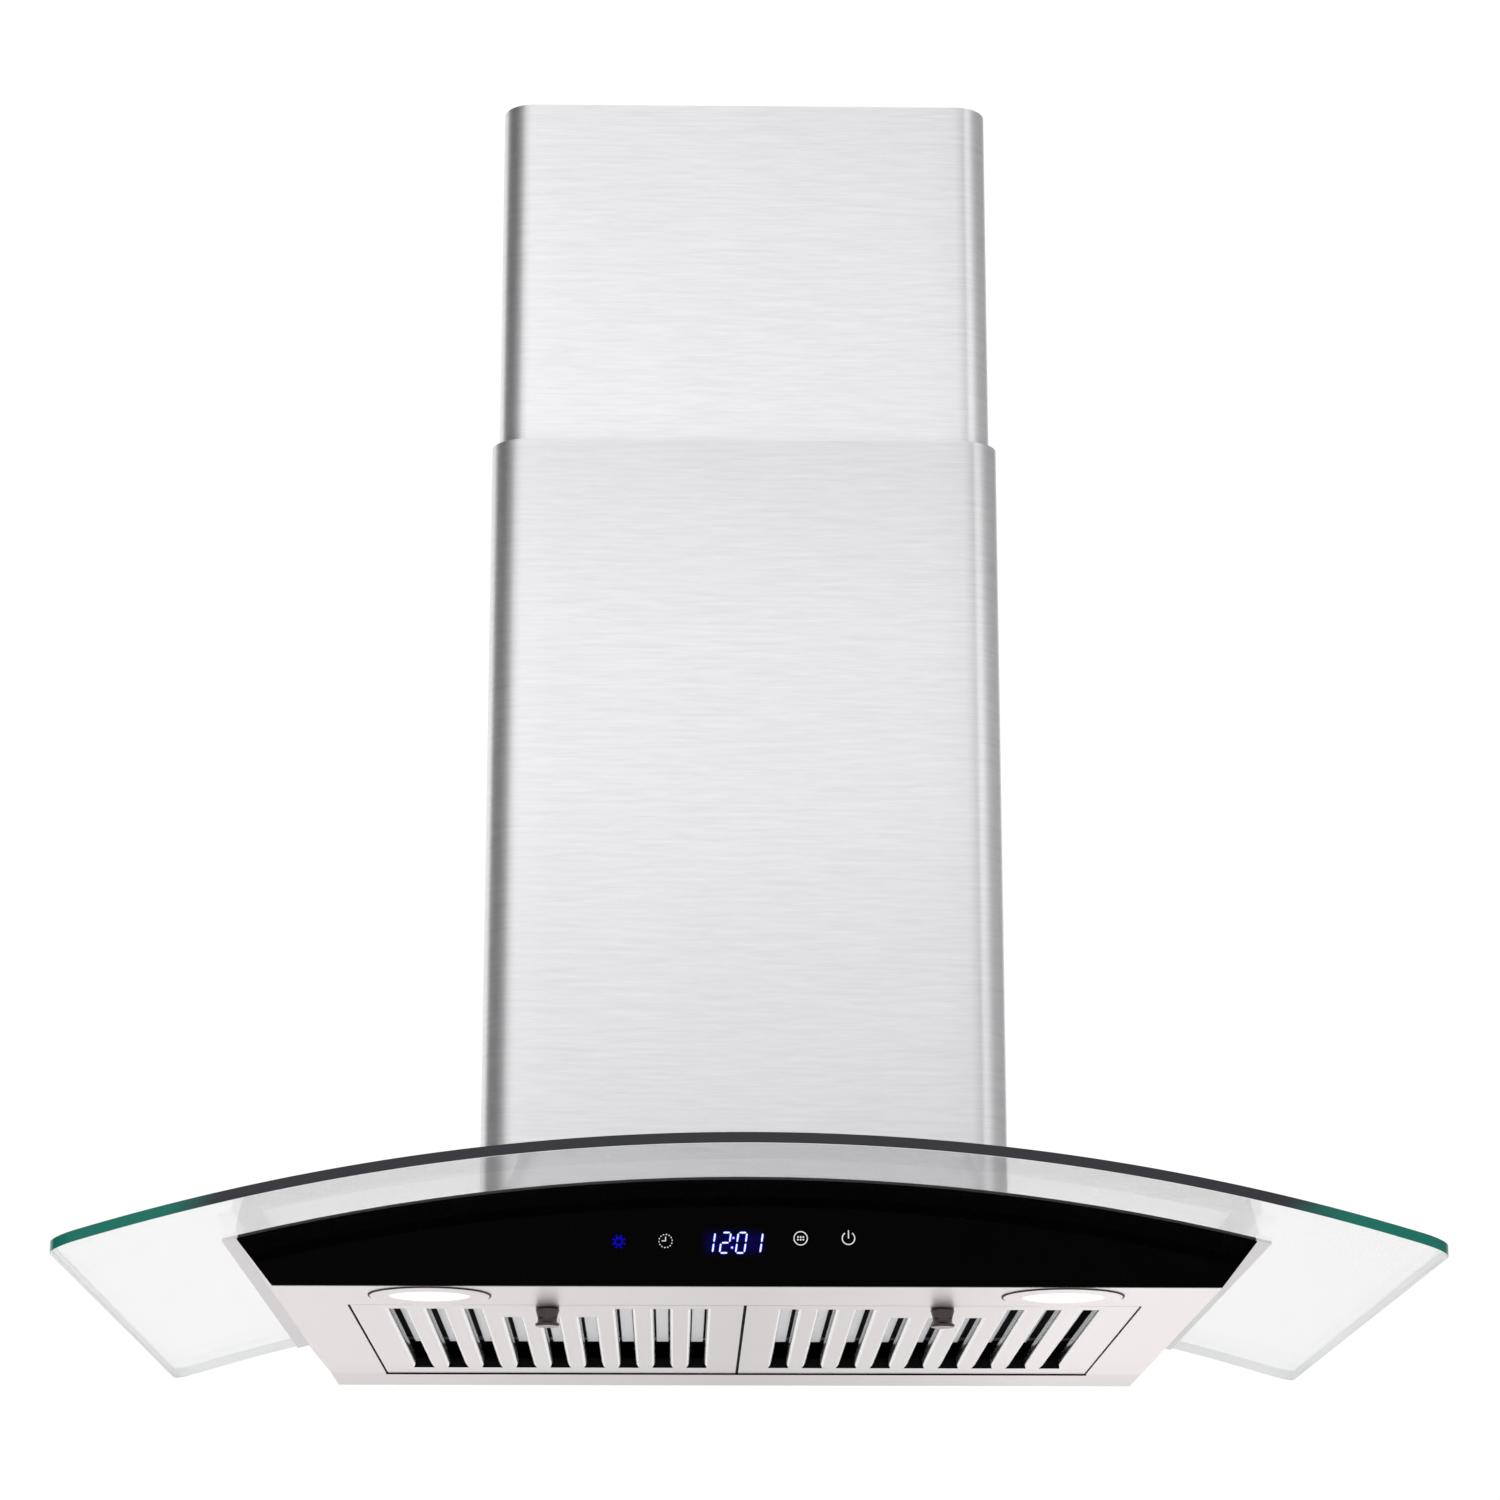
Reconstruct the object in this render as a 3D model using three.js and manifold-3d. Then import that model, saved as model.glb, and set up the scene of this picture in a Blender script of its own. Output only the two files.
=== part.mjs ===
// Island range hood: an arched glass canopy on a steel hood body, hung from the ceiling by a telescopic chimney.
// Millimetres, +Z up, +X right, front at -Y. The origin is the centre of the ceiling plate's top face.
import * as THREE from "three";
import { mergeVertices } from "three/addons/utils/BufferGeometryUtils.js";
import Module from "manifold-3d";

const wasm = await Module();
wasm.setup();

// Driving dimensions. Heights in the hood are counted from its underside, which hangs HOOD_DROP below the ceiling.
const HOOD_DROP = 763;
const GAP = 0.3; // clearance between pieces that touch
const SHEET = 1.2; // hood body sheet steel

const GLASS_WIDTH = 750;
const GLASS_DEPTH = 600;
const GLASS_THICKNESS = 6;
const GLASS_CORNER = 15;
const GLASS_RADIUS = 1227; // bend radius of the glass underside
const GLASS_CROWN = 62; // height of the glass underside at its middle
const GLASS_OVERHANG = 110; // how far the glass stands out in front of the body
const GLASS_CUTOUT = { width: 296, depth: 256, corner: 20 };
const ARCH_CENTRE = GLASS_CROWN - GLASS_RADIUS;

const BODY_DEPTH = 486.8;
const BODY_BASE_WIDTH = 531;
const BODY_TOP_WIDTH = 572;
const RAIL_WIDTH = 8.5; // steel rail under the glass beside the body
const PANEL_THICKNESS = 3;
const GASKET_THICKNESS = 1.5;
const GASKET_BAND = 14;

const FILTER_BAY = { left: -228.5, right: 228.5, front: -161.9, back: 173.1 };
const FILTER_HEIGHT = 20;
const SLOT_COUNT = 9;
const SLOT_PITCH = 22;
const SLOT_WIDTH = 9.5;
const SLOT_LENGTH = 289.5;
const SLOT_INSET = 16; // from the filter's front edge to the long slots
const SHORT_SLOT_INSET = 53; // the middle three slots start behind the knob
const KNOB_INSET = 10;

const LAMP_X = 179.6;
const LAMP_Y = -205;
const LAMP_RADIUS = 34;
const LENS_RADIUS = 23.3;

const LOWER_COVER = { width: 313, depth: 272, corner: 22, top: 537.5 };
const UPPER_COVER = { width: 304.5, depth: 263, corner: 20, length: 456 };
const COVER_SHEET = 1;

const DUCT_RADIUS = 75; // outer radius of the outlet collar, for a 150 mm duct
const DUCT_HOLE_RADIUS = 85;
const BLOWER_BOX = { width: 236, depth: 206, top: 262 };
const BOX_FLANGE = { width: 292, depth: 252, thickness: 2 };
const IMPELLER = { radius: 60, length: 94, y: -9, z: 165, blades: 18 };
const SHAFT_RADIUS = 5;
const STRUT_LEG = 25;
const STRUT_SHEET = 2;

// Places that follow from them.
const BODY_FRONT = -BODY_DEPTH / 2;
const BODY_BACK = BODY_DEPTH / 2;
const SHELL_FRONT = BODY_FRONT + PANEL_THICKNESS + GAP;
const GLASS_FRONT = BODY_FRONT - GLASS_OVERHANG;
const GLASS_TOP_RADIUS = GLASS_RADIUS + GLASS_THICKNESS;
const GASKET_RADIUS = GLASS_RADIUS - GAP - GASKET_THICKNESS;
const BODY_RADIUS = GASKET_RADIUS - GAP;
const BOX_FLANGE_BASE = ARCH_CENTRE + BODY_RADIUS + GAP;
const BOX_FLANGE_TOP = BOX_FLANGE_BASE + BOX_FLANGE.thickness;

// Finishes.
const finish = (color, roughness, metalness, extra = {}) =>
  new THREE.MeshStandardMaterial({ color, roughness, metalness, ...extra });
const brushedSteel = finish(0xd8d8da, 0.35, 1);
const galvanisedSteel = finish(0xa9adb0, 0.5, 0.9);
const canopyGlass = finish(0xcfe6e0, 0.02, 0, { transparent: true, opacity: 0.35 });
const blackGlass = finish(0x050506, 0.05, 0);
const gasketRubber = finish(0x101010, 0.7, 0);
const darkNickel = finish(0x3c3836, 0.2, 1);
const lampLens = finish(0xffffff, 0.4, 0, { emissive: 0xfff6ea });
const castAluminium = finish(0xb9bcbe, 0.5, 0.9);
const blackPlastic = finish(0x1a1a1c, 0.5, 0);
const whitePlastic = finish(0xe6e6e2, 0.5, 0);
const circuitBoard = finish(0x1f5c35, 0.5, 0);
const turnedSteel = finish(0xbfc2c4, 0.25, 1);

// Solids.
function solidOf(geometry) {
  const bare = geometry.clone();
  bare.deleteAttribute("normal");
  bare.deleteAttribute("uv");
  const merged = mergeVertices(bare, 1e-4);
  return new wasm.Manifold(
    new wasm.Mesh({
      numProp: 3,
      vertProperties: merged.attributes.position.array,
      triVerts: new Uint32Array(merged.index.array),
    }),
  );
}

function geometryOf(solid) {
  const mesh = solid.getMesh();
  const indexed = new THREE.BufferGeometry();
  indexed.setAttribute("position", new THREE.BufferAttribute(mesh.vertProperties, 3));
  indexed.setIndex(new THREE.BufferAttribute(mesh.triVerts, 1));
  const faceted = indexed.toNonIndexed();
  faceted.computeVertexNormals();
  return faceted;
}

function join(first, ...others) {
  return geometryOf(others.reduce((whole, piece) => whole.add(solidOf(piece)), solidOf(first)));
}

function cut(first, ...others) {
  return geometryOf(others.reduce((whole, piece) => whole.subtract(solidOf(piece)), solidOf(first)));
}

function common(first, second) {
  return geometryOf(solidOf(first).intersect(solidOf(second)));
}

function block([x0, x1], [y0, y1], [z0, z1]) {
  const geometry = new THREE.BoxGeometry(x1 - x0, y1 - y0, z1 - z0);
  geometry.translate((x0 + x1) / 2, (y0 + y1) / 2, (z0 + z1) / 2);
  return geometry;
}

// An outline in the XY plane raised from one height to another. Each arc gets twice curveSegments steps.
function raised(outline, [bottom, top], curveSegments = 3) {
  const options = { depth: top - bottom, bevelEnabled: false, curveSegments };
  return new THREE.ExtrudeGeometry(outline, options).translate(0, 0, bottom);
}

// An outline in the XZ plane carried from front to back.
function carriedBack(outline, [front, back], curveSegments = 13) {
  const options = { depth: back - front, bevelEnabled: false, curveSegments };
  return new THREE.ExtrudeGeometry(outline, options).rotateX(Math.PI / 2).translate(0, back, 0);
}

// An outline in the YZ plane carried from left to right.
const YZ_TO_X = new THREE.Matrix4().makeBasis(
  new THREE.Vector3(0, 1, 0),
  new THREE.Vector3(0, 0, 1),
  new THREE.Vector3(1, 0, 0),
);

function carriedRight(outline, [left, right], curveSegments = 3) {
  const options = { depth: right - left, bevelEnabled: false, curveSegments };
  return new THREE.ExtrudeGeometry(outline, options).applyMatrix4(YZ_TO_X).translate(left, 0, 0);
}

// A [radius, height] profile turned about a vertical axis; a profile runs anticlockwise.
function turned(profile, segments = 24) {
  const points = profile.map(([radius, height]) => new THREE.Vector2(radius, height));
  return new THREE.LatheGeometry(points, segments).rotateX(Math.PI / 2);
}

// The same, about an axis along X.
function turnedAlongX(profile, segments = 24) {
  return turned(profile, segments).rotateY(Math.PI / 2);
}

function disc(radius, [bottom, top], segments = 24) {
  return turned([[0, bottom], [radius, bottom], [radius, top], [0, top]], segments);
}

// Outlines.
function rectangle([x0, x1], [y0, y1], corner = 0) {
  const outline = new THREE.Shape();
  if (corner === 0) {
    outline.setFromPoints([
      new THREE.Vector2(x0, y0),
      new THREE.Vector2(x1, y0),
      new THREE.Vector2(x1, y1),
      new THREE.Vector2(x0, y1),
    ]);
    return outline;
  }
  const quarter = Math.PI / 2;
  outline.absarc(x1 - corner, y0 + corner, corner, -quarter, 0, false);
  outline.absarc(x1 - corner, y1 - corner, corner, 0, quarter, false);
  outline.absarc(x0 + corner, y1 - corner, corner, quarter, 2 * quarter, false);
  outline.absarc(x0 + corner, y0 + corner, corner, 2 * quarter, 3 * quarter, false);
  outline.closePath();
  return outline;
}

function centred(width, depth, corner = 0) {
  return rectangle([-width / 2, width / 2], [-depth / 2, depth / 2], corner);
}

function circle(x, y, radius) {
  const outline = new THREE.Path();
  for (let quarter = 0; quarter < 4; quarter += 1) {
    outline.absarc(x, y, radius, (quarter * Math.PI) / 2, ((quarter + 1) * Math.PI) / 2, false);
  }
  return outline;
}

// A slot with round ends, its length along Y.
function slotOutline(x, front, back, width) {
  const outline = new THREE.Path();
  const radius = width / 2;
  outline.absarc(x, front + radius, radius, Math.PI, 2 * Math.PI, false);
  outline.absarc(x, back - radius, radius, 0, Math.PI, false);
  outline.closePath();
  return outline;
}

function arcAngles(halfWidth, radius) {
  const lean = Math.asin(halfWidth / radius);
  return [Math.PI / 2 - lean, Math.PI / 2 + lean];
}

// Front view of the hood body: sides that lean out from the base, under a top that follows the glass.
function bodyOutline(halfBase, halfTop, base, radius) {
  const outline = new THREE.Shape();
  const [right, left] = arcAngles(halfTop, radius);
  outline.moveTo(-halfBase, base);
  outline.lineTo(halfBase, base);
  outline.absarc(0, ARCH_CENTRE, radius, right, left, false);
  outline.closePath();
  return outline;
}

// Front view of a bent sheet that follows the glass.
function archBand(halfWidth, innerRadius, outerRadius) {
  const outline = new THREE.Shape();
  const [outerRight, outerLeft] = arcAngles(halfWidth, outerRadius);
  const [innerRight, innerLeft] = arcAngles(halfWidth, innerRadius);
  outline.absarc(0, ARCH_CENTRE, outerRadius, outerRight, outerLeft, false);
  outline.absarc(0, ARCH_CENTRE, innerRadius, innerLeft, innerRight, true);
  outline.closePath();
  return outline;
}

// The front half of a chimney cover in plan: a U of bent sheet, closed by its mirror image behind the seam.
function coverHalfOutline({ width, depth, corner }) {
  const outline = new THREE.Shape();
  const [x, y, seam] = [width / 2, depth / 2, -GAP / 2];
  const [inX, inRadius] = [x - COVER_SHEET, corner - COVER_SHEET];
  outline.moveTo(-x, seam);
  outline.lineTo(-x, corner - y);
  outline.absarc(corner - x, corner - y, corner, Math.PI, 1.5 * Math.PI, false);
  outline.absarc(x - corner, corner - y, corner, 1.5 * Math.PI, 2 * Math.PI, false);
  outline.lineTo(x, seam);
  outline.lineTo(inX, seam);
  outline.absarc(x - corner, corner - y, inRadius, 2 * Math.PI, 1.5 * Math.PI, true);
  outline.absarc(corner - x, corner - y, inRadius, 1.5 * Math.PI, Math.PI, true);
  outline.lineTo(-inX, seam);
  outline.closePath();
  return outline;
}

// An L angle in plan with its outer corner at (x, y), its legs pointing to the middle.
function angleOutline(x, y, leg, sheet) {
  const [sx, sy] = [Math.sign(x), Math.sign(y)];
  const corners = [
    [0, 0],
    [leg, 0],
    [leg, sheet],
    [sheet, sheet],
    [sheet, leg],
    [0, leg],
  ];
  return new THREE.Shape(corners.map(([u, v]) => new THREE.Vector2(x - sx * u, y - sy * v)));
}

// Assembly.
const rangeHood = new THREE.Group();
const hood = new THREE.Group();
hood.position.z = -HOOD_DROP;
rangeHood.add(hood);

function place(parent, name, geometry, material) {
  const mesh = new THREE.Mesh(geometry, material);
  mesh.name = name;
  parent.add(mesh);
  return mesh;
}

const CORNERS = [
  ["front_left", -1, -1],
  ["front_right", 1, -1],
  ["rear_left", -1, 1],
  ["rear_right", 1, 1],
];
const SIDES = [
  ["left", -1],
  ["right", 1],
];

// Ceiling frame: plate with the duct hole, four upper struts and the upper chimney cover.
const PLATE = { halfWidth: 150.7, halfDepth: 129.95, corner: 18.5, thickness: 2.5 };
const TAB = { sheet: 1.5, leg: 12, bottom: -32, sideHalf: 30, frontHalf: 40 };
const CABLE_HOLE = { x: 120, radius: 12 };
const SCREW_SLOT = { x: 100, y: 98, halfLength: 10, width: 7 };

function ceilingPlate() {
  const outline = centred(2 * PLATE.halfWidth, 2 * PLATE.halfDepth, PLATE.corner);
  outline.holes.push(circle(0, 0, DUCT_HOLE_RADIUS), circle(CABLE_HOLE.x, 0, CABLE_HOLE.radius));
  for (const [, sx, sy] of CORNERS) {
    const [x, y] = [sx * SCREW_SLOT.x, sy * SCREW_SLOT.y];
    outline.holes.push(
      slotOutline(x, y - SCREW_SLOT.halfLength, y + SCREW_SLOT.halfLength, SCREW_SLOT.width),
    );
  }
  return raised(outline, [-PLATE.thickness, 0]);
}

place(rangeHood, "ceiling_plate", ceilingPlate(), galvanisedSteel);

// Side view of an angle under the plate's edge, which the upper chimney cover is screwed to.
function tabOutline(edge, side) {
  const top = -PLATE.thickness - GAP;
  const [sheet, leg] = [TAB.sheet, TAB.leg];
  const corners = [
    [edge, top],
    [edge - leg, top],
    [edge - leg, top - sheet],
    [edge - sheet, top - sheet],
    [edge - sheet, TAB.bottom],
    [edge, TAB.bottom],
  ];
  return new THREE.Shape(corners.map(([across, z]) => new THREE.Vector2(side * across, z)));
}

for (const [name, side] of SIDES) {
  const tab = carriedBack(tabOutline(PLATE.halfWidth, side), [-TAB.sideHalf, TAB.sideHalf]);
  place(rangeHood, `ceiling_tab_${name}`, tab, galvanisedSteel);
}
for (const [name, side] of [["front", -1], ["rear", 1]]) {
  const tab = carriedRight(tabOutline(PLATE.halfDepth, side), [-TAB.frontHalf, TAB.frontHalf]);
  place(rangeHood, `ceiling_tab_${name}`, tab, galvanisedSteel);
}

const UPPER_STRUT = { x: 144, y: 123, top: -2.8, bottom: -400 };
const LOWER_STRUT = { x: 141.5, y: 120.5, bottom: BOX_FLANGE_TOP + GAP, top: 600 };
for (const [corner, sx, sy] of CORNERS) {
  const upper = angleOutline(sx * UPPER_STRUT.x, sy * UPPER_STRUT.y, STRUT_LEG, STRUT_SHEET);
  const lower = angleOutline(sx * LOWER_STRUT.x, sy * LOWER_STRUT.y, STRUT_LEG - 2, STRUT_SHEET);
  const upperAngle = raised(upper, [UPPER_STRUT.bottom, UPPER_STRUT.top]);
  const lowerAngle = raised(lower, [LOWER_STRUT.bottom, LOWER_STRUT.top]);
  place(rangeHood, `upper_strut_${corner}`, upperAngle, galvanisedSteel);
  place(hood, `lower_strut_${corner}`, lowerAngle, galvanisedSteel);
}

const COVER_HALVES = [
  ["front", 0],
  ["rear", Math.PI],
];
for (const [half, turn] of COVER_HALVES) {
  const sheet = raised(coverHalfOutline(UPPER_COVER), [-UPPER_COVER.length, -0.5], 4);
  place(rangeHood, `upper_chimney_${half}`, sheet, brushedSteel).rotation.z = turn;
}

// Lower chimney cover: two halves that stand on the glass and follow its curve, with nylon guides inside.
function lowerChimneyHalf() {
  const sheet = raised(coverHalfOutline(LOWER_COVER), [GLASS_CROWN / 2, LOWER_COVER.top], 4);
  const halfSpan = LOWER_COVER.width / 2 + 20;
  const underGlass = bodyOutline(halfSpan, halfSpan, 0, GLASS_TOP_RADIUS + GAP);
  return cut(sheet, carriedBack(underGlass, [-LOWER_COVER.depth, LOWER_COVER.depth], 7));
}

for (const [half, turn] of COVER_HALVES) {
  place(hood, `lower_chimney_${half}`, lowerChimneyHalf(), brushedSteel).rotation.z = turn;
}

const GUIDE = { halfLength: 35, bottom: 495, top: 530, inner: 152.6, outer: 155.2 };
for (const [name, side] of SIDES) {
  const across = [side * GUIDE.inner, side * GUIDE.outer].sort((a, b) => a - b);
  const pad = block(across, [-GUIDE.halfLength, GUIDE.halfLength], [GUIDE.bottom, GUIDE.top]);
  place(hood, `cover_guide_${name}`, pad, whitePlastic);
}

// Glass canopy: one bent pane, cut out in the middle for the blower box.
function glassCanopy() {
  const band = archBand(GLASS_WIDTH / 2 + 5, GLASS_RADIUS, GLASS_TOP_RADIUS);
  const pane = carriedBack(band, [GLASS_FRONT - 5, GLASS_FRONT + GLASS_DEPTH + 5], 15);
  const halfWidth = GLASS_WIDTH / 2;
  const depth = [GLASS_FRONT, GLASS_FRONT + GLASS_DEPTH];
  const plan = rectangle([-halfWidth, halfWidth], depth, GLASS_CORNER);
  plan.holes.push(centred(GLASS_CUTOUT.width, GLASS_CUTOUT.depth, GLASS_CUTOUT.corner));
  return common(pane, raised(plan, [-50, 100]));
}

place(hood, "glass_canopy", glassCanopy(), canopyGlass);

const GASKET_HALF_WIDTH = BODY_TOP_WIDTH / 2 - 1;

// A bent strip right under the glass, over the body's whole depth.
function stripUnderGlass(halfWidth) {
  const section = archBand(halfWidth, GASKET_RADIUS, GASKET_RADIUS + GASKET_THICKNESS);
  return carriedBack(section, [BODY_FRONT, BODY_BACK]);
}

function glassGasket() {
  const inside = centred(2 * (GASKET_HALF_WIDTH - GASKET_BAND), BODY_DEPTH - 2 * GASKET_BAND);
  return cut(stripUnderGlass(GASKET_HALF_WIDTH), raised(inside, [-10, 100]));
}

// The steel rail beside the gasket, bonded to the glass along the body's side.
function glassRail(side) {
  const inner = GASKET_HALF_WIDTH + GAP;
  const outer = inner + RAIL_WIDTH;
  const across = [side * inner, side * outer].sort((a, b) => a - b);
  return common(stripUnderGlass(outer + 1), block(across, [BODY_FRONT - 1, BODY_BACK + 1], [0, 100]));
}

place(hood, "glass_gasket", glassGasket(), gasketRubber);
for (const [name, side] of SIDES) {
  place(hood, `glass_rail_${name}`, glassRail(side), brushedSteel);
}

// Hood body: shell walls under an arched roof, underside plate and black glass front.
const DISPLAY_WINDOW = { x: [-86, 70], z: [11.5, 38] };

function hoodShell() {
  const base = SHEET + GAP;
  const [halfBase, halfTop] = [BODY_BASE_WIDTH / 2, BODY_TOP_WIDTH / 2];
  const outside = bodyOutline(halfBase, halfTop, base, BODY_RADIUS);
  const inside = bodyOutline(halfBase - SHEET, halfTop - SHEET, base - 0.01, BODY_RADIUS - SHEET);
  const above = archBand(halfTop - SHEET, BODY_RADIUS - SHEET - 0.01, BODY_RADIUS + 5);
  const inDepth = [SHELL_FRONT + SHEET, BODY_BACK - SHEET];
  return cut(
    carriedBack(outside, [SHELL_FRONT, BODY_BACK]),
    carriedBack(inside, inDepth),
    carriedBack(above, inDepth),
    block(DISPLAY_WINDOW.x, [SHELL_FRONT - 1, SHELL_FRONT + SHEET + 1], DISPLAY_WINDOW.z),
  );
}

function hoodRoof() {
  const inset = SHEET + GAP;
  const margin = 2; // from the blower box to the edge of the roof's hole
  const band = archBand(BODY_TOP_WIDTH / 2 - inset, BODY_RADIUS - SHEET, BODY_RADIUS);
  const roof = carriedBack(band, [SHELL_FRONT + inset, BODY_BACK - inset]);
  const hole = centred(BLOWER_BOX.width + 2 * margin, BLOWER_BOX.depth + 2 * margin, 2 * margin);
  return cut(roof, raised(hole, [0, 100]));
}

function undersidePlate() {
  const half = BODY_BASE_WIDTH / 2;
  const outline = rectangle([-half, half], [SHELL_FRONT, BODY_BACK]);
  const [side, front, back] = [0.9, 0.9, 1.3];
  outline.holes.push(
    rectangle(
      [FILTER_BAY.left - side, FILTER_BAY.right + side],
      [FILTER_BAY.front - front, FILTER_BAY.back + back],
    ),
  );
  for (const [, side] of SIDES) outline.holes.push(circle(side * LAMP_X, LAMP_Y, 30));
  return raised(outline, [0, SHEET]);
}

function frontPanel() {
  const outline = bodyOutline(BODY_BASE_WIDTH / 2, BODY_TOP_WIDTH / 2, 0, BODY_RADIUS);
  return carriedBack(outline, [BODY_FRONT, BODY_FRONT + PANEL_THICKNESS]);
}

place(hood, "hood_shell", hoodShell(), brushedSteel);
place(hood, "hood_roof", hoodRoof(), brushedSteel);
place(hood, "underside_plate", undersidePlate(), brushedSteel);
place(hood, "front_panel", frontPanel(), blackGlass);

// Touch controls behind the front glass.
const DISPLAY_BACK = SHELL_FRONT + 10;
const displayModule = block([-84, 68], [SHELL_FRONT, DISPLAY_BACK], [13.5, 36]);
const controlBoard = block([-95, 80], [DISPLAY_BACK + GAP, DISPLAY_BACK + GAP + 1.6], [10, 44]);
place(hood, "display_module", displayModule, blackPlastic);
place(hood, "control_board", controlBoard, circuitBoard);

// Lamps in the underside.
const BEZEL_DROP = 1.6;
const COLLAR_TOP = 4;
const bezelProfile = [
  [LENS_RADIUS + GAP, -BEZEL_DROP],
  [LAMP_RADIUS - 1, -BEZEL_DROP],
  [LAMP_RADIUS, -BEZEL_DROP + 0.7],
  [LAMP_RADIUS, -GAP],
  [LENS_RADIUS + GAP + 2, -GAP],
  [LENS_RADIUS + GAP + 2, COLLAR_TOP],
  [LENS_RADIUS + GAP, COLLAR_TOP],
  [LENS_RADIUS + GAP, -BEZEL_DROP],
];
const lampHousingProfile = [
  [0, COLLAR_TOP + GAP],
  [28, COLLAR_TOP + GAP],
  [28, 9],
  [22, 9],
  [22, 24],
  [0, 24],
];
for (const [name, side] of SIDES) {
  const lamp = new THREE.Group();
  lamp.position.set(side * LAMP_X, LAMP_Y, 0);
  hood.add(lamp);
  place(lamp, `lamp_bezel_${name}`, turned(bezelProfile), brushedSteel);
  place(lamp, `lamp_lens_${name}`, disc(LENS_RADIUS, [-0.8, 1.2]), lampLens);
  place(lamp, `lamp_housing_${name}`, turned(lampHousingProfile), castAluminium);
}

// Baffle filters: a slotted face sheet, a frame with rear hooks, an upper baffle over the slots, and a pull knob.
const FILTER_WIDTH = FILTER_BAY.right - GAP;
const FILTER_SHEET = 1;
const BAFFLE_TOP = FILTER_HEIGHT - 0.5;

function slotCentres(count) {
  return Array.from({ length: count }, (_, i) => (i - (count - 1) / 2) * SLOT_PITCH);
}

function filterFace() {
  const outline = rectangle([-FILTER_WIDTH / 2, FILTER_WIDTH / 2], [FILTER_BAY.front, FILTER_BAY.back]);
  const back = FILTER_BAY.front + SLOT_INSET + SLOT_LENGTH;
  for (const x of slotCentres(SLOT_COUNT)) {
    const inset = Math.abs(x) < 1.5 * SLOT_PITCH ? SHORT_SLOT_INSET : SLOT_INSET;
    outline.holes.push(slotOutline(x, FILTER_BAY.front + inset, back, SLOT_WIDTH));
  }
  outline.holes.push(circle(0, FILTER_BAY.front + KNOB_INSET, 3));
  return raised(outline, [0, FILTER_SHEET]);
}

function filterFrame() {
  const half = FILTER_WIDTH / 2;
  const outline = rectangle([-half, half], [FILTER_BAY.front, FILTER_BAY.back]);
  const inside = half - FILTER_SHEET;
  const depth = [FILTER_BAY.front + FILTER_SHEET, FILTER_BAY.back - FILTER_SHEET];
  outline.holes.push(rectangle([-inside, inside], depth));
  const hooks = SIDES.map(([, side]) => {
    const x = side * 75;
    const hookDepth = [FILTER_BAY.back - FILTER_SHEET / 2, FILTER_BAY.back + 6];
    return block([x - 10, x + 10], hookDepth, [SHEET + GAP, SHEET + GAP + 1.5]);
  });
  return join(raised(outline, [FILTER_SHEET + GAP, FILTER_HEIGHT]), ...hooks);
}

function filterBaffle() {
  const inset = FILTER_SHEET + GAP;
  const half = FILTER_WIDTH / 2 - inset;
  const outline = rectangle([-half, half], [FILTER_BAY.front + inset, FILTER_BAY.back - inset]);
  const slots = [FILTER_BAY.front + SLOT_INSET, FILTER_BAY.front + SLOT_INSET + SLOT_LENGTH];
  for (const x of slotCentres(SLOT_COUNT - 1)) {
    outline.holes.push(slotOutline(x, slots[0], slots[1], SLOT_WIDTH - 1));
  }
  return raised(outline, [BAFFLE_TOP - FILTER_SHEET, BAFFLE_TOP]);
}

const knobProfile = [
  [0, -10],
  [6.6, -10],
  [7, -8.5],
  [5.7, -6],
  [6.75, -GAP],
  [2.5, -GAP],
  [2.5, 8],
  [0, 8],
];
for (const [name, side] of SIDES) {
  const filter = new THREE.Group();
  filter.position.x = side * (GAP + FILTER_WIDTH / 2);
  hood.add(filter);
  place(filter, `filter_face_${name}`, filterFace(), brushedSteel);
  place(filter, `filter_frame_${name}`, filterFrame(), brushedSteel);
  place(filter, `filter_baffle_${name}`, filterBaffle(), brushedSteel);
  const knob = place(filter, `filter_knob_${name}`, turned(knobProfile, 20), darkNickel);
  knob.position.y = FILTER_BAY.front + KNOB_INSET;
}

// Blower box: four walls in a flange that lies on the hood's roof, under a lid that carries the outlet collar.
const BOX_SHEET = 1.2;
const ROOF_HOLE_RADIUS = DUCT_RADIUS - BOX_SHEET;

function blowerFlange() {
  const outline = centred(BOX_FLANGE.width, BOX_FLANGE.depth, 18);
  outline.holes.push(centred(BLOWER_BOX.width + 2 * GAP, BLOWER_BOX.depth + 2 * GAP));
  return raised(outline, [BOX_FLANGE_BASE, BOX_FLANGE_TOP]);
}

function blowerBox() {
  const { width, depth, top } = BLOWER_BOX;
  const outline = centred(width, depth);
  outline.holes.push(centred(width - 2 * BOX_SHEET, depth - 2 * BOX_SHEET));
  return raised(outline, [BOX_FLANGE_BASE, top - BOX_SHEET - GAP]);
}

function blowerLid() {
  const { width, depth, top } = BLOWER_BOX;
  const outline = centred(width, depth);
  outline.holes.push(circle(0, 0, ROOF_HOLE_RADIUS));
  return raised(outline, [top - BOX_SHEET, top], 4);
}

place(hood, "blower_flange", blowerFlange(), galvanisedSteel);
place(hood, "blower_box", blowerBox(), galvanisedSteel);
place(hood, "blower_lid", blowerLid(), galvanisedSteel);

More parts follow.
